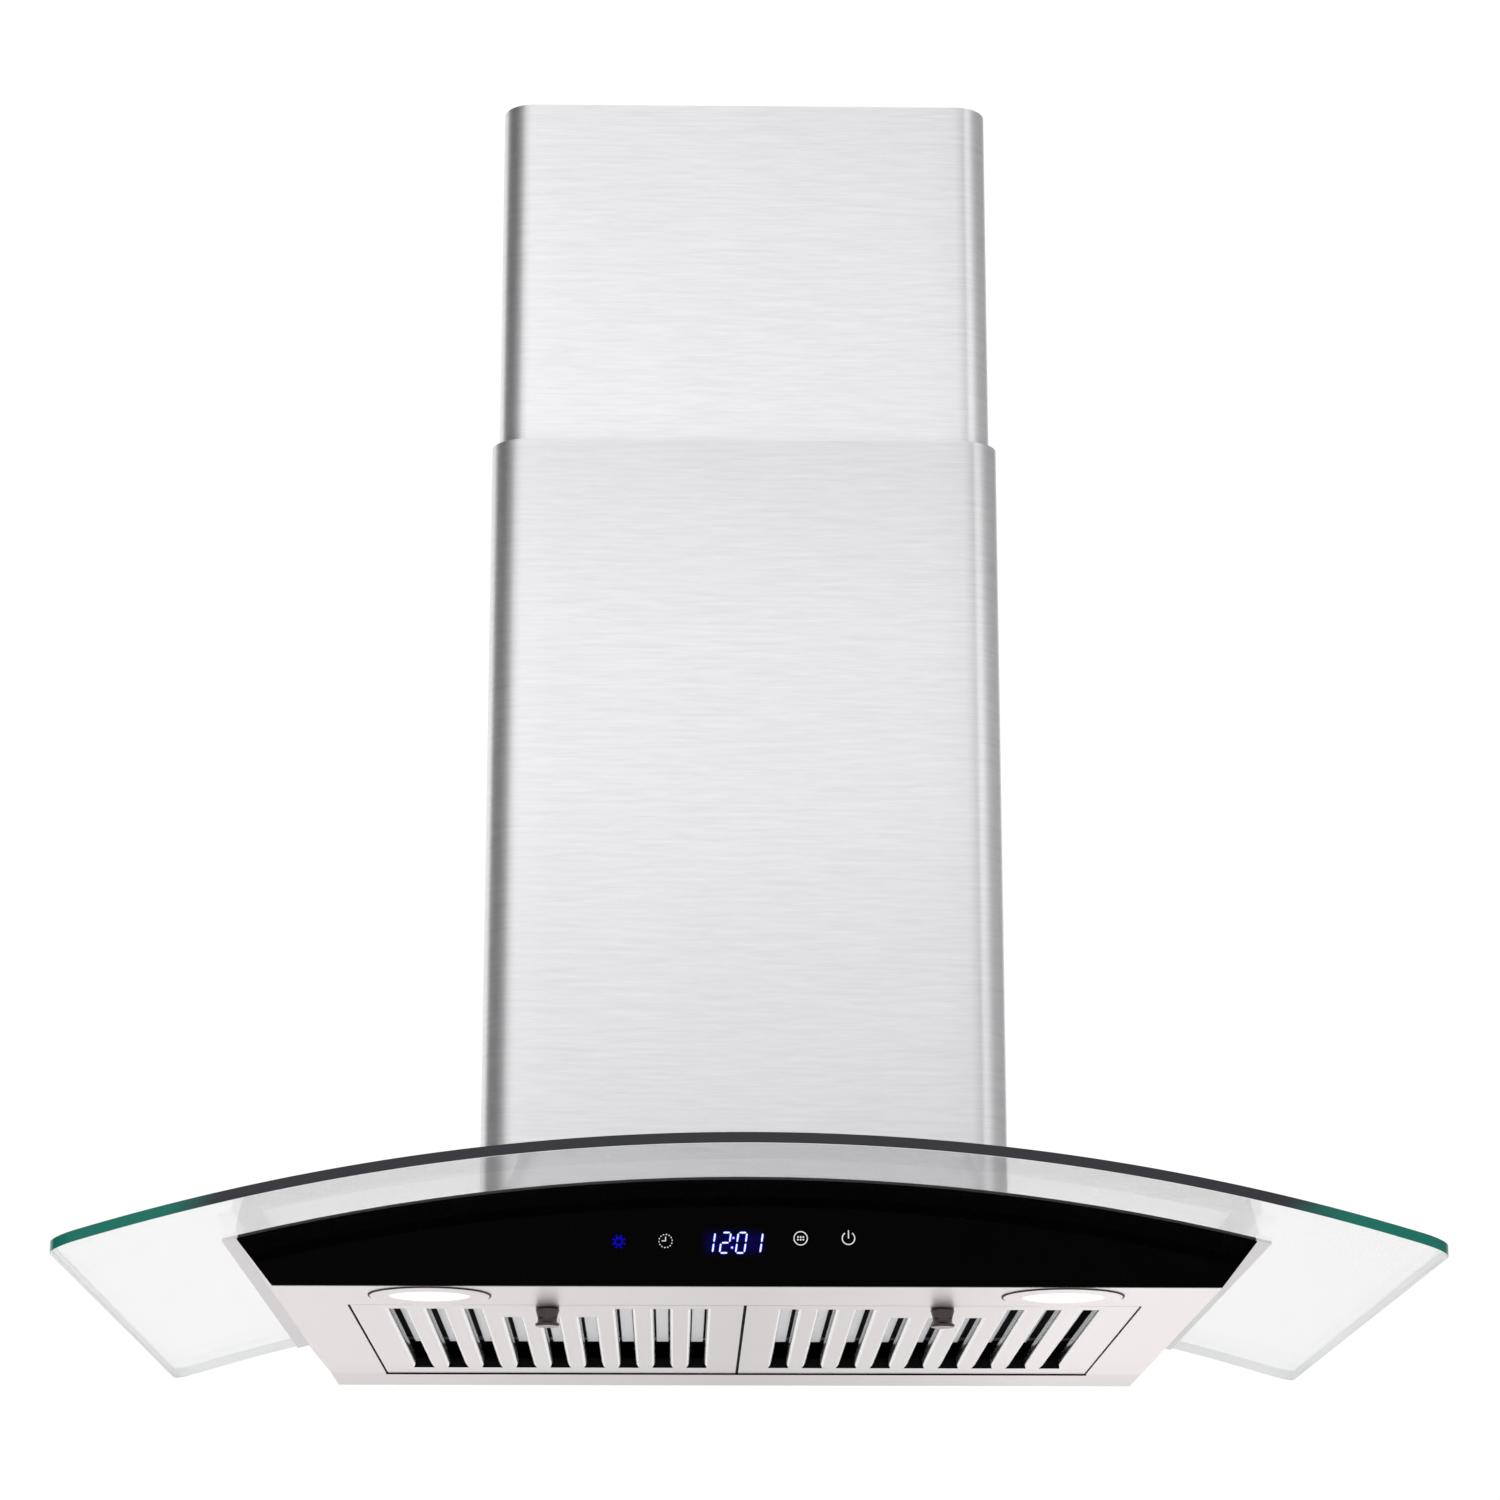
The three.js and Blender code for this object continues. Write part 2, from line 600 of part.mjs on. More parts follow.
const COLLAR_BASE = BLOWER_BOX.top + GAP;
const COLLAR_HEIGHT = 62;
const DAMPER_Z = COLLAR_BASE + 24;
const STOP_TOP = DAMPER_Z - 0.4 - GAP;
const collarProfile = [
  [ROOF_HOLE_RADIUS, COLLAR_BASE],
  [DUCT_RADIUS + 10, COLLAR_BASE],
  [DUCT_RADIUS + 10, COLLAR_BASE + BOX_SHEET],
  [DUCT_RADIUS, COLLAR_BASE + BOX_SHEET],
  [DUCT_RADIUS, COLLAR_BASE + COLLAR_HEIGHT],
  [ROOF_HOLE_RADIUS, COLLAR_BASE + COLLAR_HEIGHT],
  [ROOF_HOLE_RADIUS, STOP_TOP],
  [ROOF_HOLE_RADIUS - 3, STOP_TOP],
  [ROOF_HOLE_RADIUS - 3, STOP_TOP - 1.5],
  [ROOF_HOLE_RADIUS, STOP_TOP - 1.5],
  [ROOF_HOLE_RADIUS, COLLAR_BASE],
];
place(hood, "outlet_collar", turned(collarProfile, 28), blackPlastic);

// Backdraught damper: two half discs hinged beside a fixed rod, resting on the collar's inner lip.
const FLAP_RADIUS = 72.5;
const FLAP_HINGE_Y = 4;
const ROD_HALF = ROOF_HOLE_RADIUS - 3 - 2 * GAP;
const damperRod = turnedAlongX([[0, -ROD_HALF], [2, -ROD_HALF], [2, ROD_HALF], [0, ROD_HALF]], 12);
place(hood, "damper_rod", damperRod, turnedSteel).position.z = DAMPER_Z;

function damperFlap() {
  const outline = new THREE.Shape();
  const lean = Math.asin(FLAP_HINGE_Y / FLAP_RADIUS);
  outline.absarc(0, 0, FLAP_RADIUS, Math.PI + lean, 2 * Math.PI - lean, false);
  outline.closePath();
  const knuckle = turnedAlongX([[0, -60], [1.5, -60], [1.5, 60], [0, 60]], 12);
  return join(raised(outline, [-0.4, 0.4], 8), knuckle.translate(0, -FLAP_HINGE_Y, 0));
}

for (const [half, turn] of COVER_HALVES) {
  const flap = place(hood, `damper_flap_${half}`, damperFlap(), castAluminium);
  flap.position.z = DAMPER_Z;
  flap.rotation.z = turn;
}

// Centrifugal blower: scroll housing with its outlet under the collar, bracket, motor and impeller on one axis along X.
const SCROLL = { wall: 1.5, halfLength: 56, start: 66, growth: 28, tongue: (80 / 180) * Math.PI };
const SCROLL_MOUTH = { front: -61, back: 85, top: 93 };

function scrollOutline(inset, topRise) {
  const points = [];
  const steps = 20;
  for (let i = 0; i <= steps; i += 1) {
    const share = i / steps;
    const angle = SCROLL.tongue + share * (2 * Math.PI - SCROLL.tongue);
    const radius = SCROLL.start + SCROLL.growth * share - inset;
    points.push(new THREE.Vector2(radius * Math.cos(angle), radius * Math.sin(angle)));
  }
  points.push(new THREE.Vector2(SCROLL_MOUTH.back - inset, SCROLL_MOUTH.top + topRise));
  points.push(new THREE.Vector2(SCROLL_MOUTH.front + inset, SCROLL_MOUTH.top + topRise));
  points.push(new THREE.Vector2(SCROLL_MOUTH.front + inset, SCROLL_MOUTH.top - 6));
  return new THREE.Shape(points);
}

function scrollHousing() {
  const reach = SCROLL.halfLength;
  const inner = reach - SCROLL.wall;
  const inlet = turnedAlongX([[0, -reach - 1], [50, -reach - 1], [50, 0], [0, 0]]);
  const shaftHole = turnedAlongX([[0, 0], [15, 0], [15, reach + 1], [0, reach + 1]], 16);
  return cut(
    carriedRight(scrollOutline(0, 0), [-reach, reach]),
    carriedRight(scrollOutline(SCROLL.wall, 1), [-inner, inner]),
    inlet,
    shaftHole,
  );
}

const blower = new THREE.Group();
blower.position.set(0, IMPELLER.y, IMPELLER.z);
hood.add(blower);
place(blower, "scroll_housing", scrollHousing(), galvanisedSteel);

function motorBracket() {
  const left = SCROLL.halfLength + GAP;
  const outline = rectangle([-86, 104], [-100, 90], 8);
  outline.holes.push(circle(0, 0, 15));
  return carriedRight(outline, [left, left + 1.5]);
}

const MOTOR_LEFT = SCROLL.halfLength + 2 * GAP + 1.5;
const MOTOR_RIGHT = MOTOR_LEFT + 42;
const motorProfile = [
  [SHAFT_RADIUS + GAP, MOTOR_LEFT],
  [38, MOTOR_LEFT],
  [42, MOTOR_LEFT + 4],
  [42, MOTOR_RIGHT - 6],
  [30, MOTOR_RIGHT - 6],
  [18, MOTOR_RIGHT],
  [SHAFT_RADIUS + GAP, MOTOR_RIGHT],
  [SHAFT_RADIUS + GAP, MOTOR_LEFT],
];
place(blower, "motor_bracket", motorBracket(), galvanisedSteel);
place(blower, "motor", turnedAlongX(motorProfile), castAluminium);

const HUB_LEFT = 18;
const shaftProfile = [
  [0, HUB_LEFT - 4],
  [SHAFT_RADIUS, HUB_LEFT - 4],
  [SHAFT_RADIUS, MOTOR_RIGHT + 5],
  [0, MOTOR_RIGHT + 5],
];
place(blower, "motor_shaft", turnedAlongX(shaftProfile, 16), turnedSteel);

// A forward-curved blade in the YZ plane, as a short crescent at one angle.
function bladeOutline(angle) {
  const [inner, outer, curl, sheet] = [51, IMPELLER.radius - 0.5, 0.11, 0.018];
  const at = (radius, turn) =>
    new THREE.Vector2(radius * Math.cos(angle + turn), radius * Math.sin(angle + turn));
  const middle = (inner + outer) / 2;
  const outwards = [at(inner, 0), at(middle, curl * 0.35), at(outer, curl)];
  const inwards = [at(outer, curl + sheet), at(middle, curl * 0.35 + sheet), at(inner, sheet)];
  return new THREE.Shape([...outwards, ...inwards]);
}

function impeller() {
  const half = IMPELLER.length / 2;
  const bore = SHAFT_RADIUS + GAP;
  const hub = turnedAlongX(
    [
      [bore, HUB_LEFT],
      [12, HUB_LEFT],
      [12, half - 2],
      [IMPELLER.radius, half - 2],
      [IMPELLER.radius, half],
      [bore, half],
      [bore, HUB_LEFT],
    ],
    24,
  );
  const rim = turnedAlongX(
    [
      [50, -half],
      [IMPELLER.radius, -half],
      [IMPELLER.radius, -half + 2],
      [50, -half + 2],
      [50, -half],
    ],
    24,
  );
  const blades = Array.from({ length: IMPELLER.blades }, (_, i) => {
    const outline = bladeOutline((i / IMPELLER.blades) * 2 * Math.PI);
    return carriedRight(outline, [-half + 1, half - 1]);
  });
  return join(hub, rim, ...blades);
}

place(blower, "impeller", impeller(), blackPlastic);

// Mains connection beside the blower box.
const BOX_SIDE = BLOWER_BOX.width / 2 + GAP;
const CONTROL_BOX = { x: [BOX_SIDE, 143], y: [-60, 60], z: [72, 182] };
const controlBox = block(CONTROL_BOX.x, CONTROL_BOX.y, CONTROL_BOX.z);
place(hood, "control_box", controlBox, whitePlastic);

const glandProfile = [
  [3.2, 0],
  [10, 0],
  [10, 5],
  [8, 6],
  [8, 16],
  [6, 20],
  [3.2, 20],
  [3.2, 0],
];
const gland = place(hood, "cable_gland", turned(glandProfile, 14), blackPlastic);
gland.position.set((CONTROL_BOX.x[0] + CONTROL_BOX.x[1]) / 2, 0, CONTROL_BOX.z[1] + GAP);

const CAPACITOR_RADIUS = 14;
const capacitor = place(hood, "motor_capacitor", disc(CAPACITOR_RADIUS, [0, 62], 20), whitePlastic);
capacitor.position.set(-BOX_SIDE - CAPACITOR_RADIUS, 0, BOX_FLANGE_TOP + GAP);

export default rangeHood;
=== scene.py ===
"""Looks of the island range hood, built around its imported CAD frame. Metres, +Z up, front at -Y."""

import math
from functools import partial

import bmesh
import bpy
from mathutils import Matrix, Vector
from mathutils.geometry import tessellate_polygon


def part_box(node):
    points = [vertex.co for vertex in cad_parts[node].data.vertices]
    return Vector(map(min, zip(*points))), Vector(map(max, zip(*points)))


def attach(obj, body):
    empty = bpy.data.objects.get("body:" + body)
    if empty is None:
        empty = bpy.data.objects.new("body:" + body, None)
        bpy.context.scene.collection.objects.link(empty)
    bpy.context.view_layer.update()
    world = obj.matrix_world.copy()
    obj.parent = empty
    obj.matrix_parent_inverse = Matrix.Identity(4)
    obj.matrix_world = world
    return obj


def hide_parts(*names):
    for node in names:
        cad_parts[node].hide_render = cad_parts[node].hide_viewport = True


MM = 0.001
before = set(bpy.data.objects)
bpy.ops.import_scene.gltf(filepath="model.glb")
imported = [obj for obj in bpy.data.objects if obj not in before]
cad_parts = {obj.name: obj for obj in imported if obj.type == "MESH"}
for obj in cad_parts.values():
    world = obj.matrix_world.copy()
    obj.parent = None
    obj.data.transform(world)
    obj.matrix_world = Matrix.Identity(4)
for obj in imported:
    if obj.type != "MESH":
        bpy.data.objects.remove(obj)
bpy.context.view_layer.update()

# Places taken from the CAD nodes.
glass_low, glass_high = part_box("glass_canopy")
panel_low, panel_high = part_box("front_panel")
plate_low, plate_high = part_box("underside_plate")
BASE = plate_low.z  # the hood's underside; heights in the hood are counted from it
GAP = 0.3 * MM
GLASS_RADIUS = 1227 * MM
GLASS_THICK = 6 * MM
GLASS_CROWN = 62 * MM
ARCH_Z = BASE + GLASS_CROWN - GLASS_RADIUS
GLASS_TOP_RADIUS = GLASS_RADIUS + GLASS_THICK


def arch(x, radius):
    """Height at x of a sheet that follows the glass at this radius."""
    return ARCH_Z + math.sqrt(radius * radius - x * x)


# ---------------------------------------------------------------- materials


def add_node(tree, kind, values=None, **options):
    """A new node; a value that is another node's socket is linked, any other is set."""
    made = tree.nodes.new(kind)
    for option, value in options.items():
        setattr(made, option, value)
    for socket, value in (values or {}).items():
        if isinstance(value, bpy.types.NodeSocket):
            tree.links.new(value, made.inputs[socket])
        else:
            made.inputs[socket].default_value = value
    return made


def ramp_of(tree, stops, value):
    """A grey ramp through (place, level) pairs, with places from 0 to 1."""
    ramp = tree.nodes.new("ShaderNodeValToRGB")
    elements = ramp.color_ramp.elements
    while len(elements) > 1:
        elements.remove(elements[0])
    for index, (place, level) in enumerate(stops):
        stop = elements[0] if index == 0 else elements.new(place)
        stop.position = place
        stop.color = (level, level, level, 1.0)
    tree.links.new(value, ramp.inputs["Fac"])
    return ramp.outputs["Color"]


class Paint:
    """A node material and short ways to add nodes to it; sockets are the shader's own constant values."""

    def __init__(self, name, **sockets):
        self.mat = bpy.data.materials.new(name)
        self.mat.use_nodes = True
        self.tree = self.mat.node_tree
        self.shader = self.tree.nodes["Principled BSDF"]
        for socket, value in sockets.items():
            self.shader.inputs[socket.replace("_", " ")].default_value = value

    def node(self, kind, values=None, **options):
        return add_node(self.tree, kind, values, **options)

    def place(self):
        """Where a point lies on the piece, in metres."""
        return self.node("ShaderNodeTexCoord").outputs["Object"]

    def split(self, vector):
        return self.node("ShaderNodeSeparateXYZ", {0: vector}).outputs

    def noise(self, stretch, detail=3.0, roughness=0.6):
        """Noise with about stretch grains to the metre along each axis."""
        where = self.node("ShaderNodeMapping", {"Vector": self.place(), "Scale": stretch}).outputs["Vector"]
        values = {"Vector": where, "Scale": 1.0, "Detail": detail, "Roughness": roughness}
        return self.node("ShaderNodeTexNoise", values).outputs["Fac"]

    def spread(self, value, low, high, start=0.3, end=0.7):
        """A value between start and end carried over to the range low to high."""
        values = {"Value": value, "From Min": start, "From Max": end, "To Min": low, "To Max": high}
        return self.node("ShaderNodeMapRange", values).outputs["Result"]

    def math(self, operation, a, b=0.0):
        return self.node("ShaderNodeMath", {0: a, 1: b}, operation=operation).outputs[0]

    def mix(self, factor, a, b, blend_type="MIX"):
        made = self.node("ShaderNodeMix", {"Factor": factor}, data_type="RGBA", blend_type=blend_type)
        for index, value in ((6, a), (7, b)):
            if isinstance(value, bpy.types.NodeSocket):
                self.tree.links.new(value, made.inputs[index])
            else:
                made.inputs[index].default_value = (*value, 1.0)
        return made.outputs[2]

    def fade(self, axis, stops):
        """A grey that changes along one axis of the piece, from (place in metres, level) pairs."""
        low, high = stops[0][0], stops[-1][0]
        share = self.spread(self.split(self.place())[axis], 0.0, 1.0, low, high)
        return ramp_of(self.tree, [((place - low) / (high - low), level) for place, level in stops], share)

    def feed(self, socket, value):
        self.tree.links.new(value, self.shader.inputs[socket])

    def bump(self, height, strength, distance):
        """Makes the surface uneven; distance is in millimetres."""
        values = {"Height": height, "Strength": strength, "Distance": distance * MM}
        self.feed("Normal", self.node("ShaderNodeBump", values).outputs["Normal"])


def brushed(
    name, base, grain, roughness, contrast=0.035, anisotropy=0.85, bump=0.05, tangent=None, fade=None
):
    """Stainless steel with fine brush lines; grain is how tightly the lines sit along each axis, per metre.

    fade is an axis (0, 1 or 2) and a list of (place, level): painted shade and light, how the sheet darkens
    or brightens along that axis.
    """
    paint = Paint(name, Metallic=1.0, Roughness=roughness, Anisotropic=anisotropy)
    lines = paint.noise(grain, detail=4.0, roughness=0.75)
    broad = paint.noise([g * 0.4 for g in grain], detail=2.0)
    both = paint.math("ADD", paint.math("MULTIPLY", lines, 0.6), paint.math("MULTIPLY", broad, 0.4))
    dark = [c * (1 - contrast) for c in base]
    light = [min(1.0, c * (1 + contrast)) for c in base]
    colour = paint.mix(paint.spread(both, 0.0, 1.0, 0.35, 0.65), dark, light)
    # Painted shade and light along one axis, multiplied into the colour.
    if fade:
        colour = paint.mix(1.0, colour, paint.fade(*fade), blend_type="MULTIPLY")
    paint.feed("Base Color", colour)
    paint.feed("Roughness", paint.spread(lines, roughness * 0.88, roughness * 1.12))
    paint.bump(both, bump, 0.2)
    if tangent:
        turned = paint.node("ShaderNodeTangent", direction_type="RADIAL", axis=tangent)
        paint.feed("Tangent", turned.outputs["Tangent"])
    return paint


def simple(name, base, roughness, metallic=0.0, speckle=600.0, contrast=0.06, bump=0.05, **sockets):
    """A moulded, cast or coated surface with fine uneven grain."""
    paint = Paint(name, Metallic=metallic, **sockets)
    grain = paint.noise([speckle] * 3, detail=3.0)
    dark = [c * (1 - contrast) for c in base]
    light = [min(1.0, c * (1 + contrast)) for c in base]
    paint.feed("Base Color", paint.mix(paint.spread(grain, 0.0, 1.0), dark, light))
    paint.feed("Roughness", paint.spread(grain, roughness * 0.85, roughness * 1.15))
    paint.bump(grain, bump, 0.15)
    return paint


LINES_AROUND = (55.0, 55.0, 1000.0)  # brush lines that run level round the chimney
LINES_ACROSS = (20.0, 1400.0, 1400.0)  # brush lines that run left to right
LINES_ALONG = (400.0, 20.0, 400.0)  # brush lines that run front to back


def chimney_paint(name, painted_shading_levels):
    """Level brush lines, with painted shade and light that change the sheet's tone from its top to its
    foot.
    """
    paint = brushed(
        name,
        (0.93, 0.93, 0.96),
        LINES_AROUND,
        0.36,
        contrast=0.065,
        anisotropy=0.9,
        tangent="Z",
        fade=(2, painted_shading_levels),
    )
    paint.shader.inputs["Anisotropic Rotation"].default_value = 0.25
    return paint


# Painted shade and light: the upper cover darkens towards the ceiling; the lower cover has a painted bright
# band at its foot and darkens towards its top.
upper_steel = chimney_paint("upper_chimney_steel", [(-0.46, 1.0), (-0.2, 0.99), (-0.1, 0.95), (0.0, 0.9)])
lower_steel = chimney_paint(
    "chimney_steel",
    [(-0.71, 1.02), (-0.655, 0.92), (-0.55, 0.93), (-0.45, 0.97), (-0.35, 0.97), (-0.225, 0.88)],
)
# Painted shade: the hood's steel is painted darker towards its rear, with a step just behind the filter
# bay.
body_steel = brushed(
    "body_steel",
    (0.9, 0.855, 0.85),
    LINES_ACROSS,
    0.36,
    contrast=0.02,
    anisotropy=0.3,
    fade=(1, [(-0.25, 1.0), (0.1, 0.98), (0.17, 0.95), (0.18, 0.86), (0.25, 0.82)]),
)
# Painted light and shade: the underside is painted brighter towards its two ends and darker in its middle.
across = body_steel.fade(
    0,
    [(-0.27, 0.98), (-0.2, 0.96), (-0.12, 0.88), (0.0, 0.78), (0.12, 0.93), (0.2, 1.12), (0.27, 1.12)],
)
body_colour = body_steel.shader.inputs["Base Color"].links[0].from_socket
body_steel.feed("Base Color", body_steel.mix(1.0, body_colour, across, blend_type="MULTIPLY"))
rail_steel = brushed("rail_steel", (0.74, 0.715, 0.73), LINES_ALONG, 0.4, contrast=0.03, anisotropy=0.0)
rim_steel = brushed("rim_steel", (0.93, 0.92, 0.92), LINES_ACROSS, 0.2, contrast=0.01, anisotropy=0.0)
# A shaded copy of the steel: painted shade for the filter frames and their cross bars.
shaded_inner_steel = brushed("shaded_inner_steel", (0.50, 0.50, 0.51), LINES_ACROSS, 0.35, contrast=0.05, anisotropy=0.0)
galvanised = simple(
    "galvanised_steel", (0.60, 0.62, 0.64), 0.42, 0.9, speckle=90.0, contrast=0.12, bump=0.03
)
black_glass = Paint(
    "black_glass", Roughness=0.03, Specular_IOR_Level=0.02, Emission_Color=(0.02, 0.01, 1.0, 1.0)
)
rubber = simple("gasket_rubber", (0.012, 0.012, 0.012), 0.6, speckle=900.0)
# Black that stands in for shade: the linings, pads, strips and sheets given it sit where there is only
# shade.
painted_shade_black = simple(
    "painted_shade_black",
    (0.006, 0.006, 0.007),
    0.9,
    speckle=500.0,
    contrast=0.2,
    bump=0.2,
    Specular_IOR_Level=0.1,
)
# Painted light: the baffle channels glow faintly, so they read bright through the slots.
baffle_painted_glow = simple(
    "baffle_painted_glow",
    (0.86, 0.86, 0.88),
    0.35,
    metallic=0.2,
    contrast=0.02,
    Emission_Color=(0.9, 0.91, 0.95, 1.0),
    Emission_Strength=0.1,
)
nickel = brushed(
    "dark_nickel",
    (0.075, 0.066, 0.062),
    (900.0, 900.0, 60.0),
    0.14,
    contrast=0.15,
    anisotropy=0.0,
    bump=0.01,
)
aluminium = simple("cast_aluminium", (0.66, 0.67, 0.68), 0.45, 0.9, speckle=1100.0, bump=0.12)
bright_steel = brushed("turned_steel", (0.72, 0.73, 0.74), (1500.0, 30.0, 30.0), 0.22, anisotropy=0.0)
black_plastic = simple("black_plastic", (0.022, 0.022, 0.024), 0.45, speckle=1500.0, bump=0.15)
white_plastic = simple("white_plastic", (0.78, 0.78, 0.76), 0.45, speckle=1200.0, contrast=0.02, bump=0.08)
board_green = simple("circuit_board", (0.02, 0.16, 0.07), 0.3, speckle=250.0, contrast=0.3)

# Black front glass: faint haze in the print, and the blue glow that the lit digits throw round themselves.
haze = black_glass.noise((60.0, 60.0, 60.0), detail=2.0)
black_glass.feed("Base Color", black_glass.mix(haze, (0.0, 0.0, 0.0), (0.0012, 0.0008, 0.0008)))


def glow(paint, box, reach, strength):
    """Falls from strength at a box in the XZ plane to nothing at reach, all in metres."""
    x, _, z = paint.split(paint.place())
    squares = []
    for along, (low, high) in ((x, box[0]), (z, box[1])):
        offset = paint.math("ABSOLUTE", paint.math("SUBTRACT", along, (low + high) / 2))
        outside = paint.math("MAXIMUM", paint.math("SUBTRACT", offset, (high - low) / 2), 0.0)
        squares.append(paint.math("MULTIPLY", outside, outside))
    far = paint.math("SQRT", paint.math("ADD", *squares))
    share = paint.spread(far, 1.0, 0.0, 0.0, reach)
    return paint.math("MULTIPLY", paint.math("POWER", share, 2.0), strength)


DISPLAY_BOX = ((-21.0 * MM, 5.0 * MM), (BASE + 22.0 * MM, BASE + 27.0 * MM))
black_glass.feed("Emission Strength", glow(black_glass, DISPLAY_BOX, 7 * MM, 0.05))

# Canopy glass, and its polished edge: the glass's own green, with painted shade and painted light on it.
canopy_glass = Paint("canopy_glass", Roughness=0.0, IOR=1.5, Transmission_Weight=1.0, Alpha=0.34)
smear = canopy_glass.noise((9.0, 9.0, 9.0), detail=2.0)
canopy_glass.feed("Base Color", canopy_glass.mix(smear, (0.76, 0.77, 0.80), (0.78, 0.79, 0.82)))


def edge_colours(paint, outboard, inboard, sides):
    """The pane's front edge is the glass's own green towards its ends, with painted shade in its middle
    where the body stands behind it; its other edges carry painted light, pale as if lit through.
    """
    x, y, _ = paint.split(paint.place())
    cloud = paint.spread(paint.noise((14.0, 14.0, 60.0), detail=3.0), -0.01, 0.01)
    share = paint.spread(paint.math("ADD", paint.math("ABSOLUTE", x), cloud), 0.0, 1.0, 0.285, 0.317)
    behind = paint.spread(y, 0.0, 1.0, glass_low.y + 6 * MM, glass_low.y + 20 * MM)
    return paint.mix(behind, paint.mix(share, inboard, outboard), sides)


glass_edge = Paint("glass_edge", Roughness=0.15, IOR=1.5, Specular_IOR_Level=0.15)
# Edge colours: the glass's own green, painted shade, and painted light.
EDGE_GREEN, EDGE_PAINTED_SHADE, EDGE_PAINTED_LIGHT = (0.009, 0.16, 0.12), (0.036, 0.037, 0.042), (0.96, 0.98, 0.975)
glass_edge.feed("Base Color", edge_colours(glass_edge, EDGE_GREEN, EDGE_PAINTED_SHADE, EDGE_PAINTED_LIGHT))


def arris():
    """The ground corners of the pane's edge: painted shade along its upper side, a white painted highlight
    along its lower.
    """
    paint = Paint("glass_arris", Roughness=0.3, IOR=1.5, Specular_IOR_Level=0.3)
    x, _, z = paint.split(paint.place())
    drop = paint.math("SUBTRACT", z, ARCH_Z)
    across = paint.math("ADD", paint.math("MULTIPLY", x, x), paint.math("MULTIPLY", drop, drop))
    radius = paint.math("SQRT", across)
    middle = GLASS_RADIUS + GLASS_THICK / 2
    upper = paint.spread(radius, 0.0, 1.0, middle - 0.2 * MM, middle + 0.2 * MM)
    # Painted shade on the upper corner: darker copies of the edge colours.
    dark = edge_colours(paint, (0.004, 0.055, 0.042), (0.008, 0.011, 0.012), EDGE_PAINTED_LIGHT)
    grain = paint.noise((300.0, 300.0, 300.0), detail=2.0)
    # Painted highlight: white along the lower corner.
    white = paint.mix(grain, (0.86, 0.9, 0.9), (0.96, 0.98, 0.98))
    paint.feed("Base Color", paint.mix(upper, white, dark))
    return paint


glass_arris = arris()

lens_paint = Paint("lamp_lens", Roughness=0.35, Emission_Color=(1.0, 0.985, 0.96, 1.0))
lens_grain = lens_paint.noise((700.0, 700.0, 700.0), detail=2.0)
lens_paint.feed("Base Color", lens_paint.mix(lens_grain, (0.50, 0.50, 0.49), (0.54, 0.54, 0.53)))
lens_paint.feed("Emission Strength", lens_paint.spread(lens_grain, 0.62, 0.66))


def lit(name, colour, strength):
    """A lit symbol, a little uneven as through a diffuser."""
    paint = Paint(name, Roughness=0.3, Specular_IOR_Level=0.0, Emission_Color=(*colour, 1.0))
    uneven = paint.noise((500.0, 500.0, 500.0), detail=1.0)
    paint.feed("Base Color", paint.mix(uneven, [c * 0.4 for c in colour], [c * 0.5 for c in colour]))
    paint.feed("Emission Strength", paint.spread(uneven, strength * 0.85, strength * 1.15))
    return paint


digit_light = lit("digit_light", (0.62, 0.72, 1.0), 1.15)
digit_fringe = lit("digit_fringe", (0.03, 0.02, 1.0), 0.9)
white_light = lit("white_light", (0.8, 0.8, 0.82), 0.6)
blue_light = lit("blue_light", (0.004, 0.003, 0.6), 0.42)

# ---------------------------------------------------------------- mesh helpers


def mesh_object(name, verts, faces, paints, body, face_paint=None, smooth=True):
    """A mesh piece in the row frame that rides on a CAD body."""
    mesh = bpy.data.meshes.new(name)
    mesh.from_pydata([tuple(v) for v in verts], [], [tuple(f) for f in faces])
    for paint in paints:
        mesh.materials.append(paint.mat)
    if face_paint is not None:
        mesh.polygons.foreach_set("material_index", face_paint)
    work = bmesh.new()
    work.from_mesh(mesh)
    bmesh.ops.remove_doubles(work, verts=work.verts, dist=1e-6)
    bmesh.ops.recalc_face_normals(work, faces=work.faces)
    work.to_mesh(mesh)
    work.free()
    mesh.polygons.foreach_set("use_smooth", [smooth] * len(mesh.polygons))
    piece = bpy.data.objects.new(name, mesh)
    bpy.context.scene.collection.objects.link(piece)
    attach(piece, body)
    return piece


def soften(piece, width, segments=2, angle=35, paint=-1):
    """Rounds a piece's sharp edges."""
    bevel = piece.modifiers.new("edges", "BEVEL")
    bevel.width = width
    bevel.segments = segments
    bevel.limit_method = "ANGLE"
    bevel.angle_limit = math.radians(angle)
    bevel.harden_normals = True
    bevel.material = paint
    return piece


def turned(name, profile, centre, paint, body, slot, segments, axis="Z"):
    """A closed profile of (radius, height) in millimetres, turned about an axis through centre."""
    verts, faces = [], []
    count = len(profile)
    for i in range(segments):
        angle = 2 * math.pi * i / segments
        for radius, height in profile:
            u, v, h = radius * MM * math.cos(angle), radius * MM * math.sin(angle), height * MM
            point = (u, v, h) if axis == "Z" else (h, u, v)
            verts.append(centre + Vector(point))
    for i in range(segments):
        j = (i + 1) % segments
        for k in range(count):
            m = (k + 1) % count
            if profile[k][0] == 0 and profile[m][0] == 0:
                continue
            faces.append((i * count + k, j * count + k, j * count + m, i * count + m))
    return mesh_object(name, verts, faces, [paint], body)


def rounded(x0, x1, y0, y1, corner, steps=6):
    """A rectangle's outline with rounded corners, anticlockwise."""
    left, right, near, far = x0 + corner, x1 - corner, y0 + corner, y1 - corner
    points = []
    for quarter, (cx, cy) in enumerate([(right, near), (right, far), (left, far), (left, near)]):
        for i in range(steps + 1):
            angle = math.radians(-90 + 90 * quarter + 90 * i / steps)
            points.append((cx + corner * math.cos(angle), cy + corner * math.sin(angle)))
    return points


